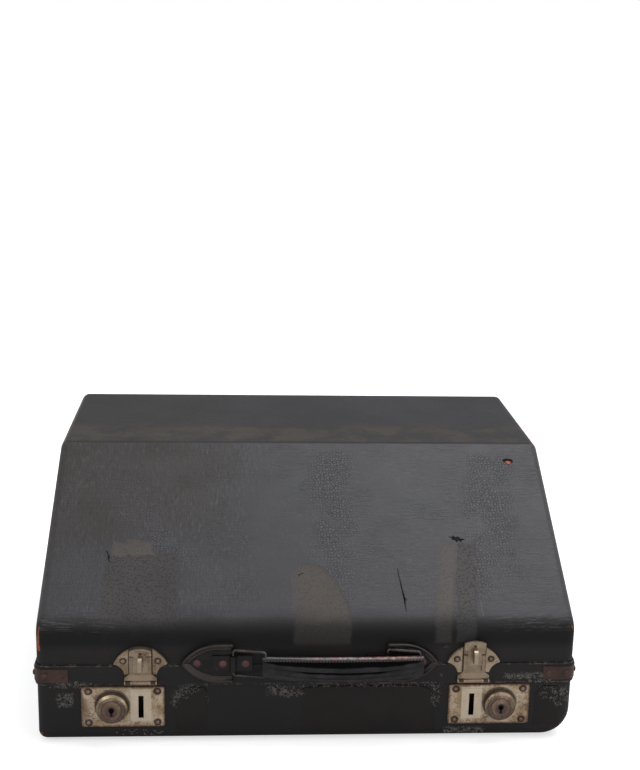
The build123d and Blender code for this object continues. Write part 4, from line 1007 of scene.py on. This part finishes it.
# Near black: inside the slash, and the painted shadow strips over the repairs' torn tops.
SLASH = board_material("torn_dark_board", (0.001, 0.0009, 0.0009), (0.01, 0.007, 0.006))
TORN = board_material("torn_grey_cloth", (0.0045, 0.0042, 0.0042), (0.022, 0.02, 0.019))
THREAD = thread_material("waxed_thread", (0.012, 0.009, 0.008), (0.04, 0.028, 0.022))
PALE_THREAD = thread_material("worn_thread", (0.045, 0.036, 0.03), (0.16, 0.135, 0.115))
COTTON = thread_material("frayed_cotton", (0.1, 0.095, 0.088), (0.33, 0.31, 0.285))

# The nodes of each metal, then its name, bright and dull colours, rust, how far that has
# spread, roughness, marks, the size of its specks and how metallic it is.
METALS = (
    (("lock_plate",), "lock_plate_nickel", (0.5, 0.41, 0.31), (0.3, 0.215, 0.125), RUST,
     0.46, 0.36, plate_marks, 0.0018),
    (("fan_plate",), "fan_plate_nickel", (0.34, 0.265, 0.185), (0.17, 0.12, 0.075), RUST,
     0.42, 0.36, fan_marks),
    (("hasp_leaf",), "hasp_nickel", (0.27, 0.205, 0.145), (0.165, 0.115, 0.074), RUST,
     0.38, 0.38, leaf_marks),
    (("hasp_slide",), "slide_nickel", (0.31, 0.245, 0.175), (0.18, 0.13, 0.085), RUST,
     0.34, 0.32, slide_marks),
    (("lock_button",), "boss_nickel", (0.34, 0.27, 0.19), (0.17, 0.12, 0.078),
     (0.05, 0.028, 0.022), 0.44, 0.27, boss_marks),
    (("key_plug",), "key_plug_brass", (0.262, 0.182, 0.128), (0.138, 0.09, 0.064),
     (0.045, 0.024, 0.021), 0.48, 0.34, plug_marks),
    (("hinge_base", "hinge_lid", "stay"), "tarnished_nickel", (0.46, 0.38, 0.29),
     (0.3, 0.23, 0.16), RUST, 0.36, 0.36),
    (("lock_box", "lock_bolt", "handle_core"), "blackened_steel", (0.075, 0.062, 0.052),
     (0.04, 0.032, 0.027), (0.03, 0.014, 0.009), 0.5, 0.42),
    (("ring",), "ring_wire", (0.07, 0.064, 0.06), (0.03, 0.027, 0.025),
     (0.03, 0.014, 0.01), 0.25, 0.22, None, 0.0014),
    (("corner_nails", "hinge_pin", "hinge_nails", "hasp_pin"), "rusted_nail",
     (0.11, 0.066, 0.048), (0.042, 0.021, 0.015), (0.026, 0.01, 0.007), 0.55, 0.3, None,
     0.0014, 0.7),
    (("lock_plate_nails", "fan_rivets"), "lock_nail", (0.27, 0.19, 0.14),
     (0.08, 0.042, 0.03), (0.04, 0.017, 0.011), 0.5, 0.3, nail_marks, 0.0014, 0.8),
    (("chape_rivets",), "lacquered_rivet", (0.085, 0.026, 0.024), (0.05, 0.018, 0.017),
     (0.035, 0.014, 0.012), 0.4, 0.5, None, 0.0016, 0.1),
)

# A node takes the finish of the longest of these beginnings that its name has.
FINISHES = {
    "base_shell": COVER, "lid_shell": COVER, "lid_rim": COVER, "base_lip": BOARD,
    "base_lining": VELVET, "lid_lining": VELVET, "bolster": VELVET, "bottom_glides": RUBBER,
    "back_feet": RUBBER, "corner_patch": PATCH, "chape": STRAP, "handle_grip": GRIP,
}
for beginnings, *look in METALS:
    FINISHES.update(dict.fromkeys(beginnings, metal_material(*look)))


def finish_nodes():
    for name, node in NODES.items():
        key = max((k for k in FINISHES if name.startswith(k)), key=len)
        node.data.materials.clear()
        node.data.materials.append(FINISHES[key])


# ---------------------------------------------------------------- the carrying handle
CHAPES = ((-1, -72.35, "chape_left"), (1, 76.15, "chape_right"))


def hump(at_place, centre, half):
    reach = (at_place - centre) / half
    return max(0.0, 1.0 - reach * reach) ** 0.6


def ease(value, low, high):
    share = min(1.0, max(0.0, (value - low) / (high - low)))
    return share * share * (3 - 2 * share)


def round_over(distance, radius):
    return math.sqrt(1 - (1 - min(1.0, distance / radius)) ** 2)


def grip_heights(x):
    """Top and bottom of the grip at a place along it, and how full its padding is there."""
    reach = (x - GRIP_X) / GRIP_HALF
    inside = max(0.0, 1.0 - reach * reach)
    return GRIP_TOP - GRIP_SAG * inside, GRIP_BOTTOM - GRIP_BELLY * inside, inside**0.55


def roll_height(full):
    return 3.6 + 8.4 * full


def grip_front_at(x, down):
    """How far the grip's face stands in front of the case, `down` below its top."""
    full = grip_heights(x)[2]
    roll = roll_height(full)
    # The piping and its seam, the roll and its crease, the lower fold and its crease, the flap.
    out = 13.5 + 0.8 * hump(down, 1.5, 1.5) - 0.15 * hump(down, 3.3, 0.7)
    out += 1.8 * full * hump(down, 0.4 + roll, 3.7)
    out -= 1.1 * full * hump(down, 4.1 + roll, 1.0)
    out += 1.2 * full * hump(down, 4.9 + roll + 2.2, 2.0)
    out -= 0.6 * full * hump(down, 5.1 + roll + 4.6, 0.9)
    out += 0.5 * ease(down, roll + 8.5, roll + 11)
    out = min(15.35, out + 0.22 * uneven(x * 0.09, down * 0.25, 3.1))
    return max(out, 13.38) if down < 12.6 else out


def grip_skin():
    """Padded roll along the top, its creased lower fold, and the flat sewn flap."""
    sections = []
    rows, columns = 44, 120
    # How far the grip's back stands out behind the thick roll and behind the thin flap.
    thick, thin = 8.75, 12.7
    for i in range(columns + 1):
        x = GRIP_X - GRIP_HALF + 2 * GRIP_HALF * i / columns
        top, bottom, full = grip_heights(x)
        tall = top - bottom
        roll = roll_height(full)
        thinning = (14.5, 18.5) if full < 0.45 else (roll + 4.5, roll + 9.5)
        front, back = [], []
        for k in range(rows + 1):
            down = tall * (1 - math.cos(math.pi * k / rows)) / 2
            face = grip_front_at(x, down)
            rear = thick + (thin - thick) * ease(down, *thinning)
            closing = round_over(down, 2.2) * round_over(tall - down, 0.8)
            middle, half = (face + rear) / 2, (face - rear) / 2 * closing
            front.append(at(x, middle + half, top - down))
            back.append(at(x, middle - half, top - down))
        sections.append(front + back[-2:0:-1])
    upholster("grip_leather_skin", sections, GRIP, "handle_grip")
    for name, finish, lift, low, spacing, length, thread in (
        ("grip_edge_stitches", THREAD, 0.1, True, 3.0, 2.2, 0.34),
        ("grip_roll_stitches", PALE_THREAD, 0.3, False, 2.9, 1.7, 0.42),
    ):
        run = []
        for i in range(150):
            x = GRIP_X - GRIP_HALF + 3.0 + (2 * GRIP_HALF - 6.0) * i / 149
            top, bottom, _ = grip_heights(x)
            down = top - bottom - 2.6 if low else 3.3
            run.append(at(x, grip_front_at(x, down) + lift, top - down))
        stitch_row(name, run, finish, "handle_grip", spacing, length, thread, 0.2)


def arc_through(a, b, c, count):
    """Points along the arc through three points of a plane."""
    d = 2 * (a.x * (b.y - c.y) + b.x * (c.y - a.y) + c.x * (a.y - b.y))
    aa, bb, cc = a.length_squared, b.length_squared, c.length_squared
    centre = Vector((
        (aa * (b.y - c.y) + bb * (c.y - a.y) + cc * (a.y - b.y)) / d,
        (aa * (c.x - b.x) + bb * (a.x - c.x) + cc * (b.x - a.x)) / d,
    ))
    start = math.atan2(a.y - centre.y, a.x - centre.x)
    end = math.atan2(c.y - centre.y, c.x - centre.x)
    radius = (a - centre).length
    angles = [start + (end - start) * k / count for k in range(count + 1)]
    return [centre + radius * Vector((math.cos(t), math.sin(t))) for t in angles]


def inwards(line, k):
    """The direction into the shield at a point of its outline."""
    before, after = line[max(0, k - 1)], line[min(len(line) - 1, k + 1)]
    way = (after - before).normalized()
    return Vector((way.y, -way.x))


def chape_line(inset):
    """The shield's outline from its upper to its lower straight, `inset` inside its edge."""
    tip = Vector((50.0, 0.0))
    line = [Vector((0.6 + k * 1.55, 20.0)) for k in range(8)]
    line += arc_through(Vector((13.0, 20.0)), Vector((37.0, 13.3)), tip, 26)
    line += [Vector((p.x, -p.y)) for p in reversed(line[:-1])]
    return [p + inwards(line, k) * inset for k, p in enumerate(line)]


# The welt's section: distance inside the chape's edge, and height in front of the case.
WELT = (
    (0.05, 4.3), (0.25, 5.5), (0.9, 6.05), (1.8, 6.15), (2.6, 5.75), (3.2, 5.1), (4.4, 4.7),
    (5.6, 4.3), (6.5, 3.6), (6.9, 3.2), (6.9, 2.9), (0.05, 2.9),
)


def chape_rim(side, anchor, node):
    """The chape's raised edge: a turned welt of leather and its sewn band."""
    line = chape_line(0.0)
    sections = []
    for k, p in enumerate(line):
        ring = []
        for inset, out in WELT:
            s = p + inwards(line, k) * inset
            s.y = max(s.y, 0.01) if k <= (len(line) - 1) / 2 else min(s.y, -0.01)
            if inset > 3.0:
                out = min(out, max(3.0, 3.15 + 0.2 * s.x))
            out += 0.08 * uneven(s.x * 0.5, s.y * 0.5, 1.0)
            ring.append(at(anchor + side * s.x, out, HANDLE_Z + s.y))
        sections.append(ring)
    ride_with(lofted(node + "_welt", sections, RIM_LEATHER), node)
    band = [p for p in chape_line(4.4)[5:-5] if abs(p.y) > 0.8]
    run = [at(anchor + side * p.x, 4.95, HANDLE_Z + p.y) for p in band]
    stitch_row(node + "_stitches", run, PALE_THREAD, node, 2.3, 1.5, 0.26, 0.25)


# ---------------------------------------------------------------- repairs and damage
# The repairs' torn tops, left to right, how low each one reaches, and its seed.
REPAIRS = (
    ("repair_left", [(-127.5, 40), (-121, 54.5), (-112, 58.6), (-101, 59.0), (-97, 54)], 12.5, 1.0),
    (
        "repair_middle",
        [
            (-6, 55.5), (-2, 57.5), (20, 58.8), (52, 58.2), (86, 59.4), (108, 58.6), (118, 55.6),
            (123.4, 48.6), (125, 38),
        ],
        10.5, 4.0,
    ),
    ("repair_right", [(223, 48), (230, 57.4), (246, 58), (249, 42)], 15.0, 9.0),
)


def profile_at(points, x):
    """Height of a line of points at x."""
    for (x0, z0), (x1, z1) in zip(points, points[1:]):
        if x <= x1:
            return z0 + (z1 - z0) * (x - x0) / (x1 - x0)
    return points[-1][1]


def glued_patch(name, tops, low, seed):
    """Thin cloth glued on the tray's front, with a dark strip of painted shadow along its torn top.
    """
    start, end = tops[0][0], tops[-1][0]
    count = int((end - start) / 0.8)
    cloth, shadow_strip = [], []
    for i in range(count + 1):
        x = start + (end - start) * i / count
        torn = uneven(x * 0.11, 0.0, seed) + 0.5 * uneven(x * 0.5, 3.0, seed)
        top = profile_at(tops, x) + 1.5 * torn
        foot = low + 1.2 * uneven(x * 0.2, 9.0, seed)
        out = 0.2 * min(1.0, 0.12 + min(x - start, end - x) / 7.0)
        wide = 0.8 + 0.7 * uneven(x * 0.33, 5.0, seed)
        section = (
            (-0.05, foot), (0.02, foot + 0.8), (out, foot + 0.4 * (top - foot)), (out, top - 0.45),
            (0.75 * out, top - 0.05), (-0.05, top),
        )
        # A dark strip along the torn top: painted shadow.
        edge = ((0.045, top + wide), (-0.03, top + wide), (-0.03, top - 0.3), (0.045, top - 0.3))
        cloth.append([at(x, o, z) for o, z in section])
        shadow_strip.append([at(x, o, z) for o, z in edge])
    for piece in (lofted(name, cloth, REPAIR), lofted(name + "_gap", shadow_strip, SLASH)):
        ride_with(piece, "base_shell")


def on_slope(x, along, out):
    """A point on the lid's slope: `along` is its distance up from the shoulder's corner."""
    way = Vector((0.0, 210.0, 120.0)).normalized()
    off = Vector((0.0, -120.0, 210.0)).normalized()
    base = Vector((x, -210.0, 122.0)) + way * along + off * out
    return base * MM


def slope_shape(name, outline, heights, material):
    """A small closed piece on the slope: its outline, sunk a little, and raised again."""
    count = len(outline)
    if not isinstance(heights, list):
        heights = [heights] * count
    points = [on_slope(x, along, -0.3) for x, along in outline]
    points += [on_slope(x, along, height) for (x, along), height in zip(outline, heights)]
    faces = []
    for k in range(count):
        n = (k + 1) % count
        faces.append((k, n, count + n, count + k))
    faces.append(tuple(range(count, 2 * count)))
    faces.append(tuple(reversed(range(count))))
    piece = outward(piece_from(name, points, faces, material, smooth=False))
    ride_with(piece, "lid_shell")


# Small torn places on the slope: distance across, and distance up from the shoulder's corner.
# The slash's spine has its width as well.
SLASH_BRANCH = [(94.2, 33.5), (96.8, 31), (96.6, 29.6), (94.4, 30), (93.2, 36), (92.2, 38)]
FLAKE = [
    (220.4, 215.2), (223.5, 216.0), (227.4, 214.4), (225.2, 212.6), (225.8, 211.0),
    (223.0, 210.6), (221.6, 212.8),
]
CURL = [
    (217.6, 216.4), (221.6, 219.0), (228.2, 216.8), (229.0, 214.4), (227.4, 214.2),
    (223.5, 215.7), (220.2, 214.8),
]
TEAR_BY_STRIP = [
    (147.0, 110.4), (150, 109.4), (151.4, 111.4), (154, 109.0), (156.4, 110.2), (159, 107.2),
    (163.2, 106.6), (160.6, 105.6), (158.6, 103.0), (156.4, 105.4), (154.6, 102.6),
    (152.6, 106.2), (150.6, 105.6), (149.8, 108.0),
]
TEAR_ON_LEFT = [
    (-200.0, 92.2), (-197.6, 90.2), (-196.9, 86.6), (-195.2, 84.4), (-196.0, 80.6),
    (-194.9, 77.4), (-196.2, 78.6), (-197.2, 83.4), (-198.1, 88.2),
]
TEAR_ON_MIDDLE = [
    (-9.0, 58.8), (-8.0, 61.6), (-4.9, 63.7), (-2.4, 63.4), (-5.1, 62.9), (-7.4, 60.9),
]
SLASH_SPINE = (
    (90.6, 69.0, 0.1), (91.0, 62.0, 0.35), (91.9, 54.0, 0.3), (92.6, 47.0, 0.7),
    (93.4, 40.0, 0.8), (94.6, 31.0, 1.5), (94.4, 24.0, 0.6), (94.9, 17.0, 0.15),
)


def slope_damage():
    """A dark knife slash with one lifted lip, and a torn flake that shows the wood."""
    left = [(x - wide * 0.6, along) for x, along, wide in SLASH_SPINE]
    right = [(x + wide * 0.6, along) for x, along, wide in SLASH_SPINE]
    lip = [(x + 0.8, along) for x, along in right]
    slope_shape("slash_gap", left + right[::-1], 0.06, SLASH)
    slope_shape("slash_branch", SLASH_BRANCH, 0.06, SLASH)
    slope_shape("slash_lip", right + lip[::-1], [0.55] * 8 + [0.05] * 8, COVER)
    slope_shape("torn_flake_wood", FLAKE, [0.08, 0.1, 0.15, 0.1, 0.1, 0.08, 0.08], WOOD)
    slope_shape("tear_by_strip", TEAR_BY_STRIP, 0.05, TORN)
    slope_shape("tear_on_left", TEAR_ON_LEFT, 0.05, TORN)
    slope_shape("tear_on_middle", TEAR_ON_MIDDLE, 0.05, TORN)
    slope_shape("torn_flake_curl", CURL, [0.2, 0.5, 0.7, 0.6, 0.9, 0.8, 0.4], TORN)
    for number, (high, low) in enumerate(((87, 66), (61, 47), (30, 6))):
        edge = [(169.6 + 0.4 * math.sin(0.2 * z), z) for z in range(high, low, -3)]
        edge += [(x + 0.55, z) for x, z in reversed(edge[1:-1])]
        slope_shape(f"strip_edge_{number}", edge, 0.04, PALE_THREAD)


def padded_rail(name, node):
    """A velvet-covered padded rail: crowned, round-ended, with a sewn channel on each side."""
    low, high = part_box(node)
    middle, half = (low + high) / 2, (high - low) / 2
    sections = []
    for i in range(73):
        along = math.cos(math.pi * i / 72)
        end = max(0.0, 1 - abs(along) ** 14)
        y = middle.y - half.y * 0.995 * along
        ring = []
        for k in range(48):
            angle = 2 * math.pi * k / 48
            c, s = math.cos(angle), math.sin(angle)
            side = math.copysign(abs(c) ** 0.55, c)
            rise = math.copysign(abs(s) ** (0.8 if s > 0 else 0.3), s)
            swell = 0.965 + 0.02 * uneven(y * 30.0, c * 1.5, s * 1.5)
            seam = 1 - 0.05 * hump(s, 0.35, 0.1)
            width = half.x * (0.8 + 0.195 * end**0.5) * swell * seam
            if s > 0:
                rise = rise * (0.55 + 0.44 * end**0.5) * swell
            ring.append(Vector((middle.x + side * width, y, low.z + half.z * (1 + rise))))
        sections.append(ring)
    upholster(name, sections, VELVET, node)


def fluff_spots(listed, seed, share=0.62):
    """Small squares inside the frayed places, bunched by a noise."""
    pick = random.Random(seed)
    spots = []
    for (cx, _, cz), (hx, _, hz), *_ in listed:
        for _ in range(int(hx * hz * 4 * 0.85)):
            a, b = pick.uniform(-1.15, 1.15), pick.uniform(-1.2, 1.2)
            x, z = cx + a * hx, cz + b * hz
            bunched = uneven(x * 0.22, z * 0.22, seed) >= 0.02 - share * 0.2
            if a * a + b * b <= 1.5 and bunched:
                spots.append((x, z, pick.uniform(0.25, 0.6)))
    return spots


# ---------------------------------------------------------------- the scene
set_camera()
finish_nodes()
grip_skin()
for side, anchor, node in CHAPES:
    chape_rim(side, anchor, node)
padded_rail("rail_pad_left", "bolster_left")
padded_rail("rail_pad_right", "bolster_right")
slope_damage()
for name, tops, low, seed in REPAIRS:
    glued_patch(name, tops, low, seed)

tray_fluff = [place for place in FLUFF if place[0][2] < 61]
lid_fluff = [place for place in FLUFF if place[0][2] >= 61]
torn_rim = (((60, 0, 59.5), (64, 0, 1.3)), ((-224, 0, 60.0), (24, 0, 1.0)))
tray_spots = fluff_spots(tray_fluff, 3) + fluff_spots(torn_rim, 5)
frayed("frayed_tray_fibres", tray_spots, "base_shell", 11)
frayed("frayed_lid_fibres", fluff_spots(lid_fluff, 8, 1.2), "lid_rim", 12, 2.2e6, 2.8)

corners = [(-4, -4, 0), (4, -4, 0), (4, 4, 0), (-4, 4, 0)]
floor = piece_from("floor", corners, [(0, 1, 2, 3)], floor_material(), smooth=False)

# The backdrop is full white where it is seen, and half as strong as a light.
world = bpy.data.worlds.new("studio")
bpy.context.scene.world = world
world.use_nodes = True
sky = Wiring(world.node_tree)
backdrop = next(n for n in world.node_tree.nodes if n.type == "BACKGROUND")
rays = sky.node("ShaderNodeLightPath").outputs
seen_by = [Value(sky, rays[f"Is {kind} Ray"]) for kind in ("Camera", "Transmission", "Glossy")]
sky.feed(backdrop.inputs["Color"], (1.0, 1.0, 1.0))
sky.feed(backdrop.inputs["Strength"], sky.blend(most(*seen_by), 0.5, 1.0))

softbox("overhead", (0.72, 0.35, 2.3), (0.1, -0.05, 0.15), (2.4, 1.7), 46, (0.94, 0.96, 1.0))
softbox("window", (-1.9, -1.6, 1.9), (0.0, -0.1, 0.1), (1.4, 1.4), 16)
softbox("fill", (1.8, -1.8, 1.0), (0.0, -0.1, 0.1), (1.6, 1.2), 7)

bpy.context.scene.view_settings.view_transform = "Standard"
